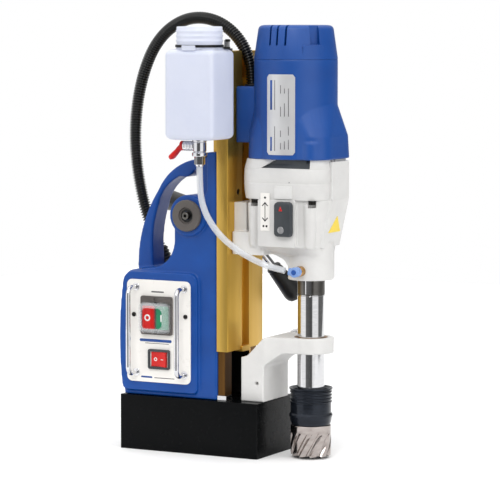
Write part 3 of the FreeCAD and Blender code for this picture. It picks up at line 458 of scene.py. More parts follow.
# The milky plastic glows faintly through its emission: painted light that lifts its shaded faces.
finish("milky_plastic", (210, 214, 229), (202, 207, 225), rough=(0.3, 0.38), fine=(900, 0.00004),
       broad=(45, 0.0008), dirt=0.0, plain={"Subsurface Weight": 0.35,
                                            "Subsurface Radius": (0.02, 0.02, 0.024), "Subsurface Scale": 1.0,
                        "Transmission Weight": 0.12, "Coat Weight": 0.2, "Coat Roughness": 0.15,
                        "Emission Color": (0.78, 0.82, 0.95, 1), "Emission Strength": 0.12})
finish("clear_plastic", (240, 244, 246), (232, 238, 242), rough=(0.03, 0.07), fine=(400, 0.00002),
       broad=(60, 0.00005), dirt=0.0, plain={"Alpha": 0.2, "Specular IOR Level": 1.0})
finish("clear_hose", (240, 242, 245), (232, 235, 240), rough=(0.08, 0.14), fine=(500, 0.000002),
       broad=(80, 0.00004), dirt=0.0, plain={"Alpha": 0.42, "Specular IOR Level": 0.8})
finish("clear_hose#bore", (196, 200, 206), (186, 190, 196), rough=(0.2, 0.3), dirt=0.0, plain={"Alpha": 0.3})


# ---------------------------------------------------------------- cords
def spline_points(name, route):
    """Points along the smooth NURBS line whose control points are the route."""
    curve = bpy.data.curves.new(name, "CURVE")
    curve.dimensions = "3D"
    spline = curve.splines.new("NURBS")
    spline.points.add(len(route) - 1)
    for point, place in zip(spline.points, route):
        point.co = (*place, 1)
    spline.order_u = 3
    spline.use_endpoint_u = True
    spline.resolution_u = 24
    made = loose(name, curve)
    bpy.context.view_layer.update()
    mesh = bpy.data.meshes.new_from_object(made.evaluated_get(bpy.context.evaluated_depsgraph_get()))
    points = [v.co.copy() for v in mesh.vertices]
    bpy.data.objects.remove(made)
    bpy.data.meshes.remove(mesh)
    return points


def evenly(points, gap):
    """Points a fixed distance apart along a line of points, both ends kept."""
    lengths = [0.0]
    for a, b in zip(points, points[1:]):
        lengths.append(lengths[-1] + (b - a).length)
    count = max(2, round(lengths[-1] / gap))
    even, i = [], 0
    for k in range(count + 1):
        wanted = lengths[-1] * k / count
        while i < len(points) - 2 and lengths[i + 1] < wanted:
            i += 1
        share = (wanted - lengths[i]) / max(1e-12, lengths[i + 1] - lengths[i])
        even.append(points[i].lerp(points[i + 1], min(1.0, share)))
    return even, lengths[-1]


def make_conduit():
    """A corrugated black conduit from the wiring box, over the top, to the gland."""
    line = spline_points("conduit_line", CONDUIT_ROUTE)
    pitch, outer = 3.4, CONDUIT_D / MM / 2
    even, length = evenly(line, pitch * MM / 8)

    def radius(distance):
        wave = math.cos(math.tau * distance / pitch)
        return outer - 2.0 * max(0.0, min(1.0, 0.3 - 1.6 * wave))
    shape = bmesh.new()
    sweep(shape, [p / MM for p in even], radius, sides=32)
    mesh = mesh_of("conduit", shape)
    made = loose("corrugated_conduit", mesh)
    mesh.materials.append(FINISHES["black_plastic#conduit"])
    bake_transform(made)
    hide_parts("conduit")


def make_hose():
    """A clear hose with a bore, from the valve's nut to the fitting on the nose."""
    line = spline_points("hose_line", HOSE_ROUTE)
    even, length = evenly(line, 2.0 * MM)
    points = [p / MM for p in even]
    shape = bmesh.new()
    outer, inner = HOSE_D / MM / 2, HOSE_D / MM / 2 - 1.1
    sweep(shape, points, outer, sides=32)
    hose = piece("clear_hose", shape, "clear_hose", "head", "coolant_hose")
    shape = bmesh.new()
    sweep(shape, points[1:-1], inner, sides=24)
    piece("hose_bore", shape, "clear_hose#bore", "head")


# ---------------------------------------------------------------- magnet, rails and fasteners
def dressed(node, bevel=0.0):
    """A CAD node that stays, with its own finish and, where it is plain and square, softened edges."""
    kept = frame["nodes"][node]
    kept.data.materials.clear()
    kept.data.materials.append(FINISHES[NODE_SLOTS[node]])
    if bevel:
        weld = kept.modifiers.new("weld", "WELD")
        weld.merge_threshold = 0.002 * MM
        edge = kept.modifiers.new("edges", "BEVEL")
        edge.width, edge.segments, edge.limit_method = bevel * MM, 2, "ANGLE"
        edge.angle_limit, edge.harden_normals = math.radians(40), True


def make_magnet():
    low, high = span("magnet_body")
    solid, hollow = bmesh.new(), bmesh.new()
    slab(solid, "z", rounded(low.x, low.y, high.x, high.y, 1.5, 4), low.z, high.z)
    for part in (0, 1):
        x0, x1 = (low.x + 14.5, low.x + 92.5) if part == 0 else (high.x - 92.5, high.x - 14.5)
        slab(hollow, "z", [(x0, -42), (x1, -42), (x1, 42), (x0, 42)], low.z - 1, 8)
    piece("magnet_block", carved("magnet_block", solid, hollow), "black_enamel", "base", "magnet_body",
          bevel=0.7)
    shape = bmesh.new()
    for x in (-1, 1):
        middle_x = x * (high.x - 53.5)
        slab(shape, "z", rounded(middle_x - 38.8, -41.8, middle_x + 38.8, 41.8, 3), 0.3, 8)
    piece("potting_faces", shape, "potting_resin", "base", "magnet_potting", bevel=0.8)
    dressed("magnet_coils")


def screw(shape, point, outward, r, head):
    """A cap screw's head with a socket, its edge broken."""
    profile = [(-0.6, r * 0.6), (-0.6, r), (head - 0.35, r), (head, r - 0.35), (head, r * 0.56),
               (head * 0.4, r * 0.5), (head * 0.4, 0.02)]
    lathe(shape, point, outward, profile, 24)


# ---------------------------------------------------------------- housing
def make_housing():
    front, top = 38.5, span("housing")[1].z
    half = 45.0
    side = [
        (front, 69), (front, top - 4), ((front - 1.2, top - 1.2), (front - 4, top)), (28, top),
        ((25.2, top - 1.2), (24, top - 4)), (24, 332), ((21.8, 324), (14, 320)),
        ((0, FEED.z + 25.6), (-22, FEED.z + 13.1)), (-22, 268), ((-29, 245), (-50, 231)), (-78, 227.5),
        ((-89, 224), (-93.5, 213)), ((-99, 150), (-94, 69)),
    ]
    pad = [
        (13, 82), (13, 214), ((9.5, 222.5), (1, 226)), (-78, 226), ((-89, 222), (-93.8, 211)),
        ((-98.6, 150), (-95.2, 82)), ((-92.5, 77), (-88, 75.5)), (5, 75.5), ((10.7, 77), (13, 82)),
    ]
    handle = [
        (-92, 208), (-91, 222), ((-85.5, 275), (-62, 326)), ((-40, 353), (-12, 366)), (14, 369), (26, 369),
        (26, 352), (6, 351), (-10, 353), ((-19, 344.6), (-30, 345)), ((-47, 334), (-62, 307)),
        ((-69.5, 275), (-70, 245)), (-69, 208),
    ]
    solid, hollow = bmesh.new(), bmesh.new()
    slab(solid, "y", outline(side), -half, half)
    slab(solid, "y", outline(pad), -half - 5.2, -half + 2)
    for y in (-half - 5.2, half - 2):
        rod(solid, (0, y, FEED.z), (0, y + 7.2, FEED.z), 25.6)
    slab(solid, "y", outline(handle), -15.6, 15.6)
    box(solid, (8, -38, 316), (30, 38, 371))
    box(hollow, (13, -34.4, 60), (60, 34.4, 400))
    mesh = cast("housing_casting", solid, hollow, grain=1.25, passes=9)
    piece("housing_casting", mesh, "blue_enamel", "base", "housing")


def make_feed_side():
    """The grey disc and stub at the near end of the feed shaft, and the hub and grips at the far end."""
    shape = bmesh.new()
    low, high = span("shaft_end_disc")
    face = (FEED.x, high.y, FEED.z)
    profile = [(0, 8.2), (0, 19.7), (high.y - low.y - 0.9, 19.7), (high.y - low.y, 18.8),
               (high.y - low.y, 10.5), (2.2, 9.6), (2.2, 8.2)]
    lathe(shape, face, (0, -1, 0), profile, 96, looped=True)
    piece("shaft_end_collar", shape, "grey_plastic", "feed_handle", "shaft_end_disc", bevel=0.25)
    # A black plate that closes the back of the collar's bore; its black is painted shade for the dark recess.
    shape = bmesh.new()
    lathe(shape, face, (0, -1, 0), [(0.3, 5.0), (0.3, 9.8), (1.0, 9.8), (1.0, 5.0)], 64, looped=True)
    piece("shaft_end_recess_shade", shape, "black_plastic", "feed_handle", bevel=0.1)
    shape = bmesh.new()
    shaft = span("feed_pinion_shaft")
    profile = [(0, 8.0), (105.5, 8.0), (106, 7.4), (106, 5.4), (106.2, 4.6), (112.6, 4.6), (113, 4.2),
               (113, 2.1), (108, 2.0), (108, 0.02)]
    lathe(shape, (0, 56, FEED.z), (0, -1, 0), profile, 48)
    rod(shape, (0, 56, FEED.z), (0, shaft[1].y, FEED.z), 8.0, 48)
    teeth = 20
    flat = []
    for i in range(teeth):
        for share, r in ((0.0, 13.2), (0.22, 13.2), (0.36, 15.2), (0.42, 16.4), (0.58, 16.4), (0.64, 15.2),
                         (0.78, 13.2)):
            a = math.tau * (i + share) / teeth
            flat.append((r * math.cos(a), FEED.z + r * math.sin(a)))
    slab(shape, "y", flat, -14, 14)
    piece("feed_shaft", shape, "hardened_steel", "feed_handle", "feed_pinion_shaft", bevel=0.3)
    shape = bmesh.new()
    profile = [(0, 8.1), (0, 22.4), (0.7, 23), (11.2, 23), (13, 22), (22.4, 15.6), (23.6, 14.4), (23.6, 10.4),
               (21.8, 9.6), (21.8, 8.1)]
    lathe(shape, (0, span("feed_hub")[0].y, FEED.z), (0, 1, 0), profile, 96, looped=True)
    piece("spoke_hub", shape, "black_plastic", "feed_handle", "feed_hub", bevel=0.3)
    spokes, grips = bmesh.new(), bmesh.new()
    lean = math.radians(29.9)
    for turn in (-61.7, 58.3, 178.3):
        a = math.radians(turn)
        way = Vector((math.cos(lean) * math.cos(a), math.sin(lean), math.cos(lean) * math.sin(a)))
        start = Vector((0, 55, FEED.z))
        lathe(spokes, start + way * 14, way, [(0, 5), (100, 5), (101, 4.6)], 40)
        profile = [(0, 5.1), (0, 8.6), (0.9, 9.5), (3.2, 9.9), (4, 9.2), (5, 9.2), (5.8, 10.0), (24, 11.6),
                   (38, 13.0), (44, 13.4), (48.5, 12.6), (51.8, 10.6), (53.4, 7.6), (54, 3.5), (54, 0.02)]
        lathe(grips, start + way * 98, way, profile, 64)
    piece("feed_spoke_rods", spokes, "ground_steel", "feed_handle", "feed_spokes", bevel=0.2)
    piece("spoke_grips", grips, "black_plastic", "feed_handle", "feed_grips", bevel=0.35)


def make_gland():
    """The black threaded gland that holds the conduit on the housing."""
    end, before = Vector(CONDUIT_ROUTE[-1]) / MM, Vector(CONDUIT_ROUTE[-2]) / MM
    way = (before - end).normalized()
    foot = end - way * 27
    shape = bmesh.new()
    hexagon(shape, foot, foot + way * 8, 20)
    profile = [(7.8, 6), (7.8, 8.6)]
    for i in range(4):
        low = 9 + 4.5 * i
        profile += [(low, 8.2), (low + 0.5, 9.3), (low + 2.2, 9.3), (low + 2.8, 8.2)]
    profile += [(26.2, 8.2), (27, 7.6), (27, 6.0)]
    lathe(shape, foot, way, profile, 48)
    piece("gland_body", shape, "black_plastic", "base", "conduit_gland", bevel=0.4)


# ---------------------------------------------------------------- controls
def make_panel():
    low, high = span("control_panel")
    face, out, bend = low.y, -72, 9
    bar_low, bar_high = 98.5, 206.5
    shape = bmesh.new()
    slab(shape, "y", rounded(low.x + 2.6, low.z, high.x + 0.6, high.z, 7), face, high.y)
    piece("panel_plate", shape, "white_panel", "base", "control_panel", bevel=0.45)
    stripes = ((-68, -22, 139.8, 3.6), (-66, -50, 93.3, 2.2))
    lines = ((-60, -26, 136.2, 0.8), (-47, -18, 92.9, 1.0), (-51, -33, 201.3, 1.8))
    for name, colour, bars in (("stripes", "blue", stripes), ("lines", "grey", lines)):
        shape = bmesh.new()
        for x0, x1, z, tall in bars:
            flat = rounded(x0, z - tall / 2, x1, z + tall / 2, tall * 0.45, 3)
            slab(shape, "y", flat, face - 0.06, face + 0.1)
        piece("panel_" + name, shape, "white_panel#" + colour, "base")
    shape = bmesh.new()
    for x in (-73, -4):
        half_bar = [(x, -45, bar_low), (x, -60, bar_low)]
        for i in range(9):
            a = math.pi / 2 * i / 8
            half_bar.append((x, out + bend - bend * math.sin(a), bar_low + bend - bend * math.cos(a)))
        other_half = [(x, y, bar_low + bar_high - z) for x, y, z in reversed(half_bar)]
        sweep(shape, half_bar + other_half, 3.0, 32)
        for z in (bar_low, bar_high):
            lathe(shape, (x, face + 0.1, z), (0, -1, 0), [(0, 3), (0, 5), (0.5, 5), (0.9, 4.5), (0.9, 3)], 32)
    piece("guard_rods", shape, "chrome_plate", "base", "guard_bars")
    shape = bmesh.new()
    for x, z in ((-76, 171.5), (-2, 172)):
        screw(shape, (x, face, z), (0, -1, 0), 2.8, 1.6)
    piece("panel_cap_screws", shape, "zinc_fastener#dark", "base", "panel_screws", bevel=0.15)


def make_switches():
    low, high = span("starter_switch_body")
    face = low.y
    solid, hollow = bmesh.new(), bmesh.new()
    slab(solid, "y", rounded(low.x, low.z, high.x, high.z, 3), face, -51.9)
    box(solid, (-62.5, -52.2, 150.5), (-22.5, -22, 192.5))
    for x0, x1 in ((-61.9, -43.9), (-42.1, -24.1)):
        box(hollow, (x0, -60, 154), (x1, -38, 184))
    box(hollow, (-45.5, -60, 190), (-39.5, -54.4, 194))
    piece("starter_frame", carved("starter_frame", solid, hollow), "grey_plastic", "base",
          "starter_switch_body", bevel=0.4)
    shape = bmesh.new()
    for z in (187.4, 151.2):
        screw(shape, (-42.5, face, z), (0, -1, 0), 2.0, 1.2)
    piece("starter_screws", shape, "zinc_fastener#dark", "base", bevel=0.1)
    for name, finish_name in (("stop_button", "red_plastic"), ("start_button", "green_plastic")):
        low, high = span(name)
        mid_x, mid_z = (low.x + high.x) / 2, (low.z + high.z) / 2
        shape = bmesh.new()
        sections = ((high.y, 0), (low.y + 2.6, 0), (low.y + 0.9, 2.2), (low.y + 0.5, 3.4))
        skin(shape, [face_ring(low, high, y, inset, max(1.2, 2.5 - inset / 2), 4) for y, inset in sections])
        piece(name + "_cap", shape, finish_name, name, name, bevel=0.35)
        shape = bmesh.new()
        if name == "stop_button":
            lathe(shape, (mid_x, low.y + 0.8, mid_z), (0, -1, 0),
                  [(0, 2.4), (0, 4.2), (0.5, 4.2), (0.5, 2.4)], 48, True)
        else:
            slab(shape, "y", rounded(mid_x - 0.9, mid_z - 4.4, mid_x + 0.9, mid_z + 4.4, 0.5, 3), low.y + 0.3,
                 low.y + 0.8)
        piece(name + "_sign", shape, "white_panel#white", name)
    low, high = span("starter_cover")
    shape = bmesh.new()
    outside = ((high.y, 0), (low.y + 4.5, 0.8), (low.y + 1.6, 2.0), (low.y + 0.3, 4.2), (low.y, 7))
    inside = ((low.y + 1.2, 7), (low.y + 1.5, 4.8), (low.y + 2.6, 3.1), (low.y + 5.2, 2.0), (high.y, 1.3))
    skin(shape, [face_ring(low, high, y, inset, 6) for y, inset in outside]
         + [face_ring(low, high, y, inset, 5) for y, inset in inside])
    piece("starter_clear_cover", shape, "clear_plastic", "base", "starter_cover")


def make_rocker():
    low, high = span("rocker_bezel")
    solid, hollow = bmesh.new(), bmesh.new()
    slab(solid, "y", rounded(low.x, low.z, high.x, high.z, 2.5), low.y, -51.9)
    box(solid, (-53.6, -52.2, 105.4), (-25.4, -28, 127.6))
    box(hollow, (-52.6, -60, 106.8), (-26.4, -36, 126.2))
    piece("rocker_frame", carved("rocker_frame", solid, hollow), "dark_grey_plastic", "base", "rocker_bezel",
          bevel=0.5)
    mid, half = -39.5, 11.2
    shape = bmesh.new()
    flat = [(mid - half, -53.4), (mid, -52.9), (mid + half, -56.8), (mid + half, -50),
            *arc_points((mid + half, -50), (mid, -42), (mid - half, -50))]
    slab(shape, "z", flat, 107.2, 125.8)
    rod(shape, (mid, -50, 107.2), (mid, -50, 125.8), 1.2, 24)
    piece("rocker_key", shape, "red_plastic", "rocker_switch", "rocker_switch", bevel=0.5)
    shape = bmesh.new()
    lathe(shape, (mid - 5, -52.95, 116.5), (0.04, -1, 0), [(0, 1.3), (0, 2.3), (0.22, 2.3), (0.22, 1.3)], 32,
          True)
    tilt = Vector((-0.35, -1, 0)).normalized()
    centre = Vector((mid + 5, -54.6, 116.5))
    along, up = Vector((tilt.y, -tilt.x, 0)), Vector((0, 0, 1))
    corners = [(-2.2, -0.45), (2.2, -0.45), (2.2, 0.45), (-2.2, 0.45)]
    skin(shape, [[centre + tilt * depth + along * a + up * b for a, b in corners] for depth in (-0.2, 0.25)])
    piece("rocker_signs", shape, "white_panel#white", "rocker_switch")


# ---------------------------------------------------------------- slide, rails and bracket
def make_slide():
    low, high = span("slide_column")
    front, back, half = 55.0, 39.5, high.y
    far = [(47, 8.5), (front, 9.5), (front, half - 1.6), (front - 0.5, half - 0.5), (front - 1.6, half),
           (back, half), (back, 42.4), (48.3, 42.4), (48.3, 24), (38.2, 24), (38.2, 34), (28, 34), (28, 14),
           (20, 14)]
    near = [(x, -y) for x, y in reversed(far)]
    solid, hollow = bmesh.new(), bmesh.new()
    bottom = low.z + 3.0
    slab(solid, "z", [*near, *far], bottom, high.z)
    box(hollow, (38, -9, high.z - 34), (60, 9, high.z + 5))
    for y in (-19, 19):
        rod(hollow, (front - 3, y, 328), (front + 5, y, 328), 4.2, 32)
    mesh = carved("slide_extrusion", solid, hollow)
    piece("slide_extrusion", mesh, "gold_anodised", "head", "slide_column", bevel=0.45)
    shape = bmesh.new()
    box(shape, (46.4, -12, bottom - 3), (57, 8, bottom + 4))
    piece("slide_stop_lip", shape, "gold_anodised", "head", bevel=0.6)
    shape = bmesh.new()
    for y in (-19, 19):
        screw(shape, (front - 3, y, 328), (1, 0, 0), 3.9, 2.2)
    piece("slide_screws", shape, "zinc_fastener#dark", "head", bevel=0.15)


def make_channel_shade_plate():
    """A black plate at the back of the channel that the slide runs in: painted shade for the shaded inside of
    the channel.
    """
    shape = bmesh.new()
    slab(shape, "z", [(13.1, -34.3), (38.2, -34.3), (38.2, -33.6), (13.8, -33.6), (13.8, 33.6), (38.2, 33.6),
                      (38.2, 34.3), (13.1, 34.3)], 69.2, 376)
    piece("channel_shade_plate", shape, "black_plastic", "base", bevel=0.2)


def make_bracket():
    base = span("support_bracket")[0].z
    x, z0, z1 = SPINDLE.x, 131.0, 150.4
    side = [(66, base), (66, 124), ((71, 124.6), (76, 127.5)), (93, 145), ((97, 149), (103, z1)), (x, z1),
            (x, z0), (121, z0), (99, 115.5), (97.5, 112), (97.5, base)]
    plan = [(60, -33), (97.5, -33), (104, -31.5), (x - 4, -28.2), (x - 4, 28.2), (104, 33), (97.5, 35),
            (60, 35)]
    solid, hollow = bmesh.new(), bmesh.new()
    slab(solid, "y", outline(side), -40, 40)
    for sign in (-1, 1):
        edge = [p for p in plan if p[1] * sign > 0]
        if sign > 0:
            edge.reverse()
        wall = [(40, edge[0][1]), *edge, (200, edge[-1][1]), (200, 80 * sign), (40, 80 * sign)]
        slab(hollow, "z", wall, base - 20, 200)
    mesh = carved("bracket_arm", solid, hollow)
    arm = bmesh.new()
    arm.from_mesh(mesh)
    arm.transform(Matrix.Scale(1 / MM, 4))
    ring(arm, (x, 0, z0), (x, 0, z1), 28.5, 20.3)
    bore = bmesh.new()
    rod(bore, (x, 0, z0 - 5), (x, 0, z1 + 5), 20.4, 96)
    mesh = cast("bracket_casting", arm, bore, grain=0.85, passes=4)
    hole = bmesh.new()
    rod(hole, (88, -50, 92), (88, -26, 92), 2.6, 32)
    piece("bracket_casting", less("bracket_body", mesh, hole), "white_casting", "base", "support_bracket")
    shape = bmesh.new()
    rod(shape, (107, 18, 146.5), (107, 35, 146.5), 4, 32)
    lathe(shape, (107, 34.6, 146.5), (0, 1, 0), [(0, 4), (0, 7.5), (5.2, 7.5), (6, 6.8), (6, 3.6), (3, 3.4),
                                                 (3, 0.02)], 48)
    piece("bush_clamp", shape, "ground_steel", "base", "bush_clamp_screw", bevel=0.25)


# ---------------------------------------------------------------- gearbox
def loft(shape, sections):
    """A closed skin through level rectangles, each given as (x0, y0, x1, y1, corner) and its height."""
    skin(shape, [placed("z", rounded(*plan, 10), z) for plan, z in sections])


def make_gear_case():
    x, nose, split, foot = SPINDLE.x, 28.5, 322.0, 263.0
    solid, hollow = bmesh.new(), bmesh.new()
    loft(solid, [((78, -39, 169, 39, 17), foot), ((74, -41, 182, 41, 20), split)])
    rod(solid, (x, 0, 222), (x, 0, 268), nose, 96)
    loft(solid, [((112, -27, 174, 27, 26), 252), ((80, -38, 168, 38, 17), foot)])
    box(solid, (55, -38, 252), (100, 38, 280), 4)
    slab(solid, "y", [(150, foot), (172, foot), (185, split), (150, split)], -20.5, 28)
    box(solid, (55, -30, 280), (72, 30, 316))
    slab(solid, "y", rounded(96, 264, 147, split, 1), -46, -30)
    arch = [(88, 262), (88, 254.5), ((106, 252), (118, 247)), ((124.5, 239.5), (128.5, 226)), (140, 226),
            (140, 262)]
    slab(solid, "y", outline(arch), -22, 22)
    for at, y in ((163, -36.5), (86, -35)):
        lathe(solid, (at, y, 262), (0, 0, 1), [(0, 5), (3, 6.5), (55, 8.2), (55, 0.1)], 32)
    mesh = cast("gear_case_casting", solid, grain=1.0, passes=5)
    rod(hollow, (x, 0, 215), (x, 0, 232), 24, 96)
    for at in (90, 168):
        for y in (-41.4, 41.4):
            rod(hollow, (at, y, split - 9), (at, y, split + 1), 5.2, 32)
    mesh = less("gear_case_body", mesh, hollow, sharp=40)
    piece("gear_case_casting", mesh, "white_casting", "head", "gear_case")


def make_gear_ring():
    """The upper case, swelling a little between its two ends, with the fan's outlet in its near side."""
    solid, hollow = bmesh.new(), bmesh.new()
    sections = []
    for z, inset in ((322, 2.4), (324, 1.7), (330, 0.8), (340, 0.2), (341.4, 0.15), (342, 0.6), (342.6, 0.1),
                     (350, 0.1), (358.6, 0.5), (359.4, 1.1), (360, 0.8), (371, 3.4)):
        sections.append(((68 + inset, -46 + inset * 0.5, 182.2 - inset * 0.5, 46 - inset * 0.5, 23), z))
    loft(solid, sections)
    box(solid, (178, -20.5, 322), (185, 28, 368.3), 1.2)
    outlet = [(100, 360.4), (166, 360.4), (166, 380), (121, 380), (118, 370.4)]
    slab(hollow, "y", outline(outlet), -60, -36)
    box(hollow, (72, -36, 318), (176, 36, 380), 14)
    mesh = carved("upper_case", solid, hollow)
    piece("upper_case", mesh, "white_casting", "head", "gear_case_ring", bevel=0.9, segments=3)
    shape = bmesh.new()
    slab(shape, "y", rounded(119, 323, 143, 339, 0.8, 3), -47, -44)
    piece("upper_case_rib", shape, "white_casting", "head", bevel=0.5)
    # A dark plate just inside the fan's outlet: painted shade for the dark seen through the vent.
    shape = bmesh.new()
    box(shape, (92, -40.5, 352), (160, -37.5, 371))
    slab(shape, "x", [(-43.6, 358), (-38.2, 358), (-38.2, 371)], 97, 164)
    piece("vent_shade_plate", shape, "dark_grey_plastic", "head", bevel=0.3)
    shape = bmesh.new()
    for y in (-15, -7):
        rod(shape, (179.5, y, 367), (179.5, y, 372), 2.6, 32)
    rod(shape, (139, -46.2, 343.5), (139, -45.0, 343.5), 0.9, 24)
    piece("case_studs", shape, "zinc_fastener", "head", bevel=0.2)
    shape = bmesh.new()
    for at in (90, 168):
        for y in (-41.4, 41.4):
            lathe(shape, (at, y, 322), (0, 0, -1),
                  [(0, 2.5), (0, 4.6), (4.4, 4.6), (5, 4.1), (5, 2.4), (2, 2.2), (2, 0.02)], 32)
    piece("case_cap_screws", shape, "zinc_fastener#dark", "head", "case_bolts", bevel=0.2)


def make_selector():
    low, high = span("gear_selector")
    face = low.y
    mid = (low.x + high.x) / 2
    shape = bmesh.new()
    sections = ((face + 6.6, 0), (face + 1.8, 0.5), (face + 0.4, 1.4), (face, 2.6))
    skin(shape, [face_ring(low, high, y, inset, 5 - inset * 0.5) for y, inset in sections])
    rod(shape, (mid, face + 6, 298.5), (mid, -31, 298.5), 5, 32)
    piece("selector_knob", shape, "dark_grey_plastic", "gear_selector", "gear_selector", bevel=0.3)
    shape = bmesh.new()
    tip = high.z - 5.2
    slab(shape, "y", [(mid - 4.6, tip - 6), (mid + 0.6, tip - 6), (mid - 2, tip)], face - 0.12, face + 0.3)
    piece("selector_pointer", shape, "red_plastic", "gear_selector")
    solid, hollow = bmesh.new(), bmesh.new()
    centre = low.z + 8.6
    lathe(solid, (mid - 1.6, face + 0.5, centre), (0, -1, 0), [(0, 4.4), (0.8, 4.4), (1.3, 3.9), (1.4, 0.02)],
          48)
    slab(hollow, "x", [(face - 3, centre - 5), (face - 0.2, centre - 5), (face - 0.2, centre + 5),
                       (face - 3, centre + 5)],
         mid - 2.3, mid - 0.9)
    mesh = carved("selector_screw", solid, hollow, overlapping=False)
    piece("selector_screw", mesh, "zinc_fastener", "gear_selector", bevel=0.12)


def make_labels():
    low, high = span("gear_label")
    face = low.y
    shape = bmesh.new()
    slab(shape, "y", rounded(low.x, low.z, high.x, high.z, 0.8, 3), face, high.y)
    piece("speed_label", shape, "white_panel", "head", "gear_label", bevel=0.1)
    mid_x, mid_z = (low.x + high.x) / 2, (low.z + high.z) / 2
    shape = bmesh.new()
    slab(shape, "y", [(mid_x - 0.5, mid_z - 10.5), (mid_x + 0.5, mid_z - 10.5), (mid_x + 0.5, mid_z + 10.5),
                      (mid_x - 0.5, mid_z + 10.5)], face - 0.08, face + 0.1)
    for way in (-1, 1):
        tip = mid_z + way * 12.2
        for aside in (-1, 1):
            flat = [(mid_x, tip), (mid_x + aside * 4.2, tip - way * 4.6),
                    (mid_x + aside * 3.2, tip - way * 5.4), (mid_x, tip - way * 1.8)]
            slab(shape, "y", flat, face - 0.08, face + 0.1)
    for z, turns in ((mid_z + 17.5, (0.0,)), (mid_z - 17.5, (-2.1, 2.1))):
        for shift in turns:
            lathe(shape, (mid_x + shift, face + 0.1, z), (0, -1, 0), [(0, 1.4), (0.18, 1.4)], 32)
    piece("speed_signs", shape, "white_panel#black", "head")
    shape = bmesh.new()
    slope = 13.0 / 59.0
    outward = Vector((1, 0, -slope)).normalized()
    corners = [(-13, 281), (20, 281), (3.5, 301)]
    low_ring = [Vector((171.9 + (z - 263) * slope, y, z)) for y, z in corners]
    skin(shape, [low_ring, [p + outward * 0.6 for p in low_ring]])
    piece("plain_triangle", shape, "yellow_label", "head", "yellow_triangle", bevel=0.15)
    make_rating_label()


def on_cover(turn, z, radius):
    return Vector((MOTOR.x + radius * math.sin(turn), MOTOR.y - radius * math.cos(turn), z))


def curved_patch(shape, a0, a1, z0, z1, r, low, high):
    """A patch of thin film wrapped round the motor, its corners round. a is in millimetres round it."""
    columns = 14
    rings = []
    for i in range(columns + 1):
        a = a0 + (a1 - a0) * i / columns
        inside = max(0.0, r - min(a - a0, a1 - a))
        drop = r - math.sqrt(max(0.0, r * r - inside * inside))
        turn, bottom, top = a / FILM_R, z0 + drop, z1 - drop
        rings.append([on_cover(turn, bottom, low), on_cover(turn, top, low), on_cover(turn, top, high),
                      on_cover(turn, bottom, high)])
    skin(shape, rings)


def make_rating_label():
    """A silver label with plain bars where a maker would print."""
    shape = bmesh.new()
    curved_patch(shape, -14.2, 23.2, 377, 475, 3.5, 51.3, 52.05)
    piece("silver_plate", shape, "silver_label", "head", "rating_label", bevel=0.1)
    shape = bmesh.new()
    curved_patch(shape, -9.4, -6.4, 432, 468, 0, 51.5, 52.1)
    curved_patch(shape, -9.2, -6.8, 382, 399, 0, 51.5, 52.1)
    piece("label_bars", shape, "white_panel#blue", "head")
    shape = bmesh.new()
    for a, spans in ((-3.2, ((432, 468), (382, 412))),
                     (4.6, ((384, 392), (399, 407), (424, 436), (452, 462))),
                     (9.6, ((384, 394), (424, 440), (452, 458))),
                     (14.6, ((384, 396), (401, 412), (424, 458)))):
        for z0, z1 in spans:
            curved_patch(shape, a, a + 0.9, z0, z1, 0, 51.5, 52.1)
    piece("label_lines", shape, "white_panel#grey", "head")


# ---------------------------------------------------------------- motor covers
def make_motor_cover():
    x, top = MOTOR.x, 493.0
    solid, hollow = bmesh.new(), bmesh.new()
    rod(solid, (x, 0, 371), (x, 0, top), 51.5, 128)
    loft(solid, [((74, -46, 185, 46, 24), 371), ((74, -45.5, 183.8, 45.5, 25), 399),
                 ((73.8, -44.5, 177, 44.5, 44), 437)])
    for y in (-32.5, 32.5):
        rod(solid, (163.5, y, 371), (163.5, y, 392), 14.6, 64)
    mesh = cast("motor_cover_body", solid, grain=1.1, passes=5)
    slab(hollow, "y", rounded(146, 377, 160, 389, 1.2, 3), -60, -46.6)
    slab(hollow, "y", rounded(138, 482.5, 152, 500, 1.0, 3), -60, -50.2)
    piece("motor_shell", less("motor_cover_cut", mesh, hollow, sharp=38), "blue_plastic", "head",
          "motor_cover")


def make_motor_cap():
    """The tapered cap with its cooling slots and a stepped recess."""
    x, base, top = MOTOR.x, 493.0, span("motor_cap")[1].z
    solid, hollow = bmesh.new(), bmesh.new()
    profile = [(0, 51.5), (1.0, 51.5), (36.5, 46.4), (38.6, 45.6), (40.2, 44.2), (41.2, 42), (top - base, 39),
               (top - base, 20), (41.2, 0.05)]
    lathe(solid, (x, 0, base), (0, 0, 1), profile, 128)
    for at in (-13, -3, 8):
        for side in (-60, 36):
            box(hollow, (x + at, side, 510), (x + at + 2.6, side + 24, top + 5), 1.0)
    for angle in (-35, 145):
        turned_box(hollow, (42.5, -6.5, 511), (60, 6.5, top + 5), 1.0, x, math.radians(angle))
    mesh = carved("motor_end_cap", solid, hollow)
    piece("motor_end_cap", mesh, "blue_plastic", "head", "motor_cap", bevel=0.5)
    shape = bmesh.new()
    for a0 in (32.8, -142.8):
        curved_patch(shape, a0, a0 + 28, 494.2, 510, 1.0, 48, 51.2)
    piece("cap_pads", shape, "blue_plastic", "head", bevel=0.5)
    shape = bmesh.new()
    lathe(shape, (x, 0, 505), (0, 0, 1), [(0, 1), (0, 40.6), (22, 38.6), (23, 1)], 96)
    piece("cap_lining", shape, "black_plastic", "head")


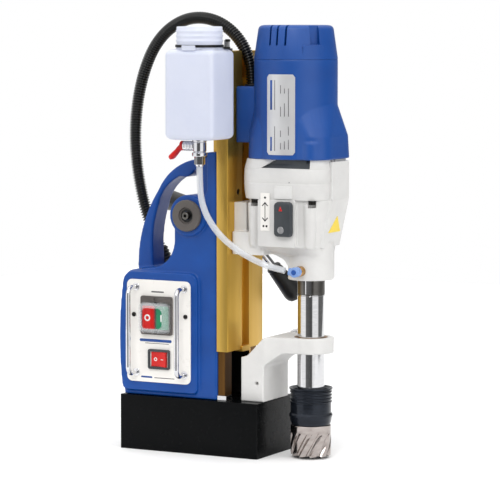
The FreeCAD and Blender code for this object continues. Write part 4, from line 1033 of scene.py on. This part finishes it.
def make_wiring_box():
    low, high = span("wiring_box")
    shape = bmesh.new()
    insets = ((low.z, 1.4), (low.z + 1.2, 0.3), (low.z + 3, 0), (high.z - 4, 0), (high.z - 1.6, 0.6),
              (high.z, 2.2))
    loft(shape, [((low.x + 0.05, low.y + inset, 86, high.y - inset, 4), z) for z, inset in insets])
    piece("terminal_box", shape, "blue_plastic", "head", "wiring_box", bevel=0.5)
    entry = Vector(CONDUIT_ROUTE[0]) / MM
    shape = bmesh.new()
    lathe(shape, (entry.x, entry.y, high.z - 0.5), (0, 0, 1),
          [(0, 7.4), (0, 9.4), (2.4, 9.4), (3.2, 8.6), (3.2, 7.4)], 48, True)
    piece("conduit_collar", shape, "black_plastic", "head", bevel=0.25)


# ---------------------------------------------------------------- spindle, chuck, cutter
def make_spindle():
    x = SPINDLE.x
    solid = bmesh.new()
    profile = [(0, 9.6), (0, 21.2), (0.4, 21.4), (38, 21.4), (39.5, 20.5), (40, 17.3), (40, 17.0),
               (157.6, 17.0), (158, 16.5), (158.9, 16.5), (159, 16.3), (178, 16.3), (178.3, 16.6),
               (179, 16.6), (179.3, 17), (300, 17), (300, 4.3), (45, 4.3), (36, 9.6)]
    lathe(solid, (x, 0, 44), (0, 0, 1), profile, 128, looped=True)
    piece("polished_spindle", solid, "ground_steel", "spindle", "spindle", bevel=0.2)
    solid, hollow = bmesh.new(), bmesh.new()
    ring(solid, (x, 0, 203), (x, 0, 221.9), 17.0, 16.2)
    for angle in (-76.5, 103.5):
        turned_box(hollow, (15.8, -12, 204.2), (24, 12, 230), 0.0, x, math.radians(angle))
    mesh = carved("spindle_collar", solid, hollow, overlapping=False)
    piece("spindle_collar", mesh, "hardened_steel", "spindle", bevel=0.2)
    shape = bmesh.new()
    profile = [(0.8, 21.8), (0, 22.6), (0, 23.6), (4, 25.2), (9, 25.9), (10.6, 26.8), (12.6, 26.9),
               (14.2, 25.8), (15, 25.2), (26, 25.2)]
    for low in (27.5, 31.6, 35.7, 39.8):
        profile += [(low, 25.1), (low + 0.7, 26.2), (low + 1.9, 26.2), (low + 2.6, 25.1)]
    profile += [(43.2, 25.2), (44.4, 26.9), (46.1, 26.9), (45.6, 25.2), (43, 21.8)]
    lathe(shape, (x, 0, 41.4), (0, 0, 1), profile, 128, looped=True)
    piece("chuck_ring_sleeve", shape, "blued_steel", "chuck_sleeve", "chuck_sleeve", bevel=0.15)
    shape = bmesh.new()
    lathe(shape, (x, 0, 4), (0, 0, 1), [(0, 0.2), (3.6, 3.6), (4.2, 4), (103.5, 4), (104, 3.6)], 32)
    piece("pilot_rod", shape, "hardened_steel", "pilot_pin", "pilot_pin", bevel=0.1)


def make_cutter():
    """An annular cutter: spiral lands with gullets between, which fade out below the plain shank."""
    x, radius, bore = SPINDLE.x, 25.0, 20.5
    low, top, fade, shank = 3.0, 41.0, 33.0, 9.5
    teeth, per_tooth = 11, 14
    gullet, tooth_rise = 2.7, 1.9
    count = teeth * per_tooth
    helix = math.tan(math.radians(30)) / radius
    shape = bmesh.new()

    def land(share):
        """How far the skin lies below the land, from 0 to 1, across one tooth's pitch."""
        if share < 0.52:
            return 0.0
        return min(1.0, (share - 0.52) / 0.06) * min(1.0, (1.0 - share) / 0.26 + 0.12)
    levels = [low + (fade - low) * (i / 22) for i in range(23)] + [35, 38, top - 0.6, top]
    rings = []

    def add_ring(z, r, depth=0.0, turned_to=None):
        """A ring that follows the helix up to a level; on the lowest level each tooth rises to its heel."""
        points = []
        for i in range(count):
            share = (i % per_tooth) / per_tooth
            a = math.tau * i / count + helix * ((z if turned_to is None else turned_to) - low)
            reach = r - depth * land(share)
            rise = tooth_rise * share if z <= low + 0.01 else 0.0
            points.append(Vector((x + reach * math.cos(a), reach * math.sin(a), z + rise)))
        rings.append(points)
    for z in (30, low + 4, low):
        add_ring(z, bore)
    for z in levels:
        depth = gullet * min(1.0, max(0.0, (fade - z) / 7.0)) ** 0.6
        add_ring(z, radius - (0.5 if z >= top else 0), depth)
    for z, r in ((top, shank + 1.2), (top + 0.8, shank), (78.4, shank), (79, shank - 0.6), (79, 4.1),
                 (33, 4.1), (33, bore - 1)):
        add_ring(z, r, turned_to=top)
    skin(shape, rings, looped=True)
    made = piece("spiral_cutter", shape, "tool_steel", "spindle", "annular_cutter")
    made.data.set_sharp_from_angle(angle=math.radians(30))


# ---------------------------------------------------------------- coolant
def ray_ring(cx, cy, half_x, half_y, corner, z, count=96):
    """A round-cornered rectangle, or a circle where corner is half its width, met by even rays."""
    points = []
    for i in range(count):
        a = math.tau * i / count
        c, s = math.cos(a), math.sin(a)
        reach = min(half_x / abs(c) if abs(c) > 1e-9 else 1e9, half_y / abs(s) if abs(s) > 1e-9 else 1e9)
        px, py = reach * c, reach * s
        ox, oy = half_x - corner, half_y - corner
        if abs(px) > ox - 1e-9 and abs(py) > oy - 1e-9:
            qx, qy = math.copysign(ox, c), math.copysign(oy, s)
            b = qx * c + qy * s
            reach = b + math.sqrt(max(0.0, b * b - (qx * qx + qy * qy - corner * corner)))
            px, py = reach * c, reach * s
        points.append(Vector((cx + px, cy + py, z)))
    return points


def make_tank():
    """A blow-moulded bottle: soft square body, flat shoulder, threaded neck open at the top."""
    low, high = span("coolant_tank")
    cx, cy = NECK.x, NECK.y
    half_x, half_y = (high.x - low.x) / 2 + 0.8, (high.y - low.y) / 2
    shoulder, top, wall, floor = 505.0, 533.0, 2.2, 394.8
    shape = bmesh.new()
    rings = []

    def body(z, inset, thick=0.0):
        hx, hy = half_x - inset - thick, half_y - inset - thick
        rings.append(ray_ring(cx, cy, hx, hy, max(2.0, min(5.5 - thick, min(hx, hy))), z))

    def neck(z, r):
        rings.append(ray_ring(cx, cy, r, r, r, z))
    edge = 7.0
    body(floor, edge + 6)
    for i in range(6):
        a = math.pi / 2 * i / 5
        body(floor + edge * (1 - math.cos(a)) + 0.3, edge * (1 - math.sin(a)))
    body(floor + 30, 0.0)
    body(floor + 70, 0.0)
    for i in range(6):
        a = math.pi / 2 * i / 5
        body(shoulder - edge + edge * math.sin(a), edge * (1 - math.cos(a)))
    neck(shoulder + 0.3, 29.6)
    neck(shoulder + 1.6, 28.2)
    for z in (515, 521, 527):
        for rise, r in ((-1.2, 28.0), (0, 28.9), (1.0, 28.9), (2.2, 28.0)):
            neck(z + rise, r)
    neck(top - 1.4, 28)
    neck(top - 0.4, 27.7)
    neck(top, 27)
    neck(top, 26.2)
    neck(top - 0.6, 25.6)
    neck(shoulder - wall, 25.6)
    for i in range(5):
        a = math.pi / 2 * i / 4
        body(shoulder - wall - 5 * (1 - math.sin(math.pi / 2 - a)), 5 * (1 - math.cos(math.pi / 2 - a)), wall)
    for i in range(5):
        a = math.pi / 2 * i / 4
        body(floor + wall + 5 * (1 - math.sin(a)), 5 * (1 - math.cos(a)), wall)
    body(floor + wall, 12, wall)
    skin(shape, rings)
    piece("coolant_bottle", shape, "milky_plastic", "head", "coolant_tank")
    shape = bmesh.new()
    box(shape, (23.5, cy - 30, shoulder - 1), (42, cy - 26, shoulder + 5.2), 1.2)
    piece("bottle_lug", shape, "milky_plastic", "head", bevel=0.5)


def make_strap():
    """The black band round the neck, its buckle, and the metal tab that holds it to the slide."""
    shape = bmesh.new()
    ring(shape, (NECK.x, NECK.y, 507.6), (NECK.x, NECK.y, 510.8), 29.7, 28.5)
    piece("neck_band", shape, "black_plastic", "head", "tank_strap", bevel=0.3)
    a = math.radians(28)
    out = Vector((math.cos(a), math.sin(a), 0))
    aside = Vector((-math.sin(a), math.cos(a), 0))
    centre = Vector((NECK.x, NECK.y, 511.5)) + out * 33.6

    def buckle_box(shape, low_corner, high_corner):
        rings = []
        for z in (low_corner[2], high_corner[2]):
            flat = rounded(low_corner[0], low_corner[1], high_corner[0], high_corner[1], 0.8, 3)
            rings.append([centre + out * u + aside * v + Vector((0, 0, z)) for u, v in flat])
        skin(shape, rings)
    dark, bright = bmesh.new(), bmesh.new()
    buckle_box(dark, (-3.4, -5.6, -5.8), (4.0, 5.6, -3.4))
    buckle_box(dark, (-2.0, -5.6, 3.0), (4.0, 5.6, 5.8))
    buckle_box(dark, (-3.4, 3.4, -4), (2.4, 5.6, 5))
    buckle_box(bright, (-2.6, -4.2, -3.6), (3.2, 3.0, 3.4))
    rod(bright, centre + Vector((0, 0, -6)) - aside * 1, centre + Vector((0, 0, 6.2)) - aside * 1, 2.2, 24)
    piece("band_buckle", dark, "zinc_fastener#dark", "head", bevel=0.35)
    piece("buckle_screw", bright, "zinc_fastener", "head", bevel=0.35)
    shape = bmesh.new()
    slide_top = span("slide_column")[1].z
    box(shape, (40, -58, slide_top + 2.2), (53, -30, slide_top + 3.4), 1)
    box(shape, (40, -48, slide_top), (53, -30, slide_top + 2.4), 1)
    screw(shape, (46.5, -38, slide_top + 3.4), (0, 0, 1), 3.4, 2.2)
    piece("strap_tab", shape, "zinc_fastener", "head", "strap_clip", bevel=0.3)


def make_valve():
    x, y = NECK.x, NECK.y
    shape = bmesh.new()
    profile = [(0, 4.4), (0, 4.6), (1.8, 4.9), (2.2, 5.2), (12.3, 5.2), (12.5, 8.9), (13.2, 9.5), (16.6, 9.5),
               (17.2, 8.9), (17.4, 7.6), (18.2, 7.6), (18.8, 8.4), (29.2, 8.4), (29.8, 7.8), (30.4, 7.8),
               (30.6, 8.8), (31.2, 9.2), (33.6, 9.2)]
    lathe(shape, (x, y, 362), (0, 0, 1), profile, 72)
    hexagon(shape, (x, y, 364.4), (x, y, 374.2), 11.8)
    piece("valve_body", shape, "chrome_plate", "head", "coolant_valve", bevel=0.3)
    shape = bmesh.new()
    stem = [(7, 6.0), (8.6, 6.0)]
    for i in range(6):
        at = 9.0 + i * 2.1
        stem += [(at, 5.1), (at + 0.5, 6.1), (at + 1.6, 6.1), (at + 2.0, 5.1)]
    stem += [(22.4, 4.8), (22.4, 0.05)]
    lathe(shape, (x, y, 387), (-1, 0, 0), stem, 48)
    piece("valve_stem", shape, "chrome_plate", "head", bevel=0.1)
    shape = bmesh.new()
    rings = []
    lever_way = Vector((-math.cos(math.radians(45)), 0, -math.sin(math.radians(45))))
    across = Vector((0, 1, 0))
    thick_way = Vector((-lever_way.z, 0, lever_way.x))
    start = Vector((x - 25.0, y, 386.6))
    for along, half, thick in ((-4.0, 3.0, 1.2), (-2.6, 5.2, 2.4), (3, 5.8, 2.6), (8, 5.0, 2.5),
                               (13, 5.6, 2.8), (19, 6.2, 3.0), (21.6, 4.8, 2.5), (23.0, 2.4, 1.4)):
        centre = start + lever_way * along
        ring_points = []
        for i in range(24):
            a = math.tau * i / 24
            c, s = math.cos(a), math.sin(a)
            ring_points.append(centre + across * half * math.copysign(abs(c) ** 0.6, c)
                               + thick_way * thick * math.copysign(abs(s) ** 0.6, s))
        rings.append(ring_points)
    skin(shape, rings)
    lathe(shape, (x - 22.2, y, 387), (-1, 0, 0), [(0, 4.2), (0, 6), (3.0, 6.0), (3.6, 5.4), (3.6, 0.05)], 40)
    piece("red_lever", shape, "red_plastic", "valve_lever", "valve_lever", bevel=0.2)


def make_elbow():
    """The push-in fitting on the nose: a brass body, a pale blue collet and the hose's socket."""
    x, z = SPINDLE.x, 234.0
    shape = bmesh.new()
    lathe(shape, (x, -26.5, z), (0, -1, 0), [(0, 5), (1.2, 5), (1.4, 6.0), (1.9, 6.4), (9.6, 6.4),
                                             (10.2, 5.8), (11, 5.6), (11, 0.05)], 48)
    piece("fitting_brass", shape, "brass", "head", "hose_elbow", bevel=0.25)
    end, before = Vector(HOSE_ROUTE[-1]) / MM, Vector(HOSE_ROUTE[-2]) / MM
    way = (end - before).normalized()
    shape = bmesh.new()
    lathe(shape, (x, -37.6, z), (0, -1, 0), [(0, 4), (0, 5.6), (0.7, 6.2), (10.0, 6.2), (11.0, 5.4),
                                             (11.0, 3.2), (10.4, 3.0), (10.4, 0.05)], 48)
    lathe(shape, end + way * 5.2, way, [(0, 4.1), (0, 4.6), (5.0, 4.6), (5.0, 0.05)], 40)
    piece("fitting_collet", shape, "blue_plastic#pale", "head", bevel=0.3)
    shape = bmesh.new()
    lathe(shape, (x, -47.8, z), (0, -1, 0), [(0, 3.1), (1.2, 3.1), (1.6, 2.6), (1.6, 0.05)], 32)
    piece("fitting_button", shape, "blue_plastic", "head", bevel=0.15)


# ---------------------------------------------------------------- stage, lights and camera
def area_light(name, place, aim, size, power):
    light = bpy.data.lights.new(name, "AREA")
    light.shape, light.size, light.size_y = "RECTANGLE", size[0], size[1]
    light.energy = power
    made = loose(name, light)
    made.location = place
    made.rotation_euler = (Vector(aim) - Vector(place)).to_track_quat("-Z", "Y").to_euler()


def make_stage():
    shape = bmesh.new()
    shape.faces.new([shape.verts.new(p) for p in ((-1400, -420, 0), (1100, -420, 0), (1100, 2000, 0),
                                                  (-1400, 2000, 0))])
    floor = loose("floor", mesh_of("floor", shape))
    finish("floor", (252, 252, 252), (250, 250, 250), rough=(0.7, 0.8), dirt=0.0)
    floor.data.materials.append(FINISHES["floor"])
    world = bpy.data.worlds.new("studio")
    bpy.context.scene.world = world
    world.use_nodes = True
    tree = world.node_tree
    back = tree.nodes["Background"]
    way = add(tree, "SeparateXYZ", {0: add(tree, "TexCoord").outputs["Generated"]})
    turn = add(tree, "Math", {0: way.outputs[1], 1: way.outputs[0]}, operation="ARCTAN2").outputs[0]
    share = add(tree, "MapRange", {"Value": turn, "From Min": -math.pi, "From Max": math.pi}).outputs[0]
    ramp = add(tree, "ValToRGB", {0: share})
    ramp.color_ramp.interpolation = "EASE"
    stops = [(-180, 0.35), (-172, 0.5), (-162, 1.2), (-114, 1.2), (-104, 0.16), (-58, 0.1), (-48, 1.15),
             (-6, 1.15), (4, 0.16), (36, 0.18), (52, 0.2), (76, 0.22), (110, 0.7), (179, 0.35)]
    elements = ramp.color_ramp.elements
    while len(elements) < len(stops):
        elements.new(0.5)
    for element, (degrees, level) in zip(elements, stops):
        element.position = (degrees + 180) / 360
        element.color = (level, level, level, 1)
    up = spread(tree, way.outputs[2], 0.0, 1.0, 0.35, 0.75)
    studio = mix(tree, up, ramp.outputs[0], (1.5, 1.5, 1.5, 1))
    seen = add(tree, "LightPath").outputs["Is Camera Ray"]
    tree.links.new(mix(tree, seen, studio, (1.0, 1.0, 1.0, 1)), back.inputs[0])
    back.inputs[1].default_value = 1.0


def make_lights():
    """Two broad soft suns, from in front and from the right, and a weak panel that lifts the near side."""
    suns = (("key", 0.88, 20, (-0.20, 0.77, -0.62)), ("side", 0.6, 60, (-0.9, 0.3, -0.2)))
    for name, energy, angle, way in suns:
        light = bpy.data.lights.new(name, "SUN")
        light.energy, light.angle = energy, math.radians(angle)
        sun = loose(name, light)
        sun.rotation_euler = Vector(way).to_track_quat("-Z", "Y").to_euler()
        sun.visible_glossy = name == "key"
    area_light("fill", (0.6, -2.6, 1.3), (0.03, 0, 0.3), (0.7, 1.0), 2)


def make_camera():
    """The camera looks at a point inside the machine from the front left, a little above."""
    lens = bpy.data.cameras.new("camera")
    lens.sensor_width, lens.lens = 36.0, 189.9
    lens.shift_x, lens.shift_y = 0.0301, -0.0584
    camera = loose("camera", lens)
    aim, azimuth, elevation = Vector((0.040, 0, 0.290)), math.radians(27.975), math.radians(4.57)
    back = Vector((math.sin(azimuth) * math.cos(elevation), -math.cos(azimuth) * math.cos(elevation),
                   math.sin(elevation)))
    camera.location = aim + back * 3.3
    camera.rotation_euler = (-back).to_track_quat("-Z", "Y").to_euler()
    lens.clip_start, lens.clip_end = 0.05, 200
    bpy.context.scene.camera = camera


NODE_SLOTS = {part["node"]: part["material_slot"] for part in frame["record"]["subparts"]}

for make in (make_conduit, make_hose, make_magnet, make_housing, make_feed_side, make_gland, make_panel,
             make_switches, make_rocker, make_slide, make_channel_shade_plate, make_bracket, make_gear_case, make_gear_ring,
             make_selector, make_labels, make_motor_cover, make_motor_cap, make_wiring_box, make_spindle,
             make_cutter, make_tank, make_strap, make_valve, make_elbow):
    make()
for node_name in frame["nodes"]:
    if not frame["nodes"][node_name].hide_render:
        dressed(node_name, bevel=0.3 if node_name in ("guide_rails", "rail_feet", "gib_strip") else 0.0)
make_stage()
make_lights()
make_camera()
bpy.context.scene.view_settings.view_transform = "Standard"
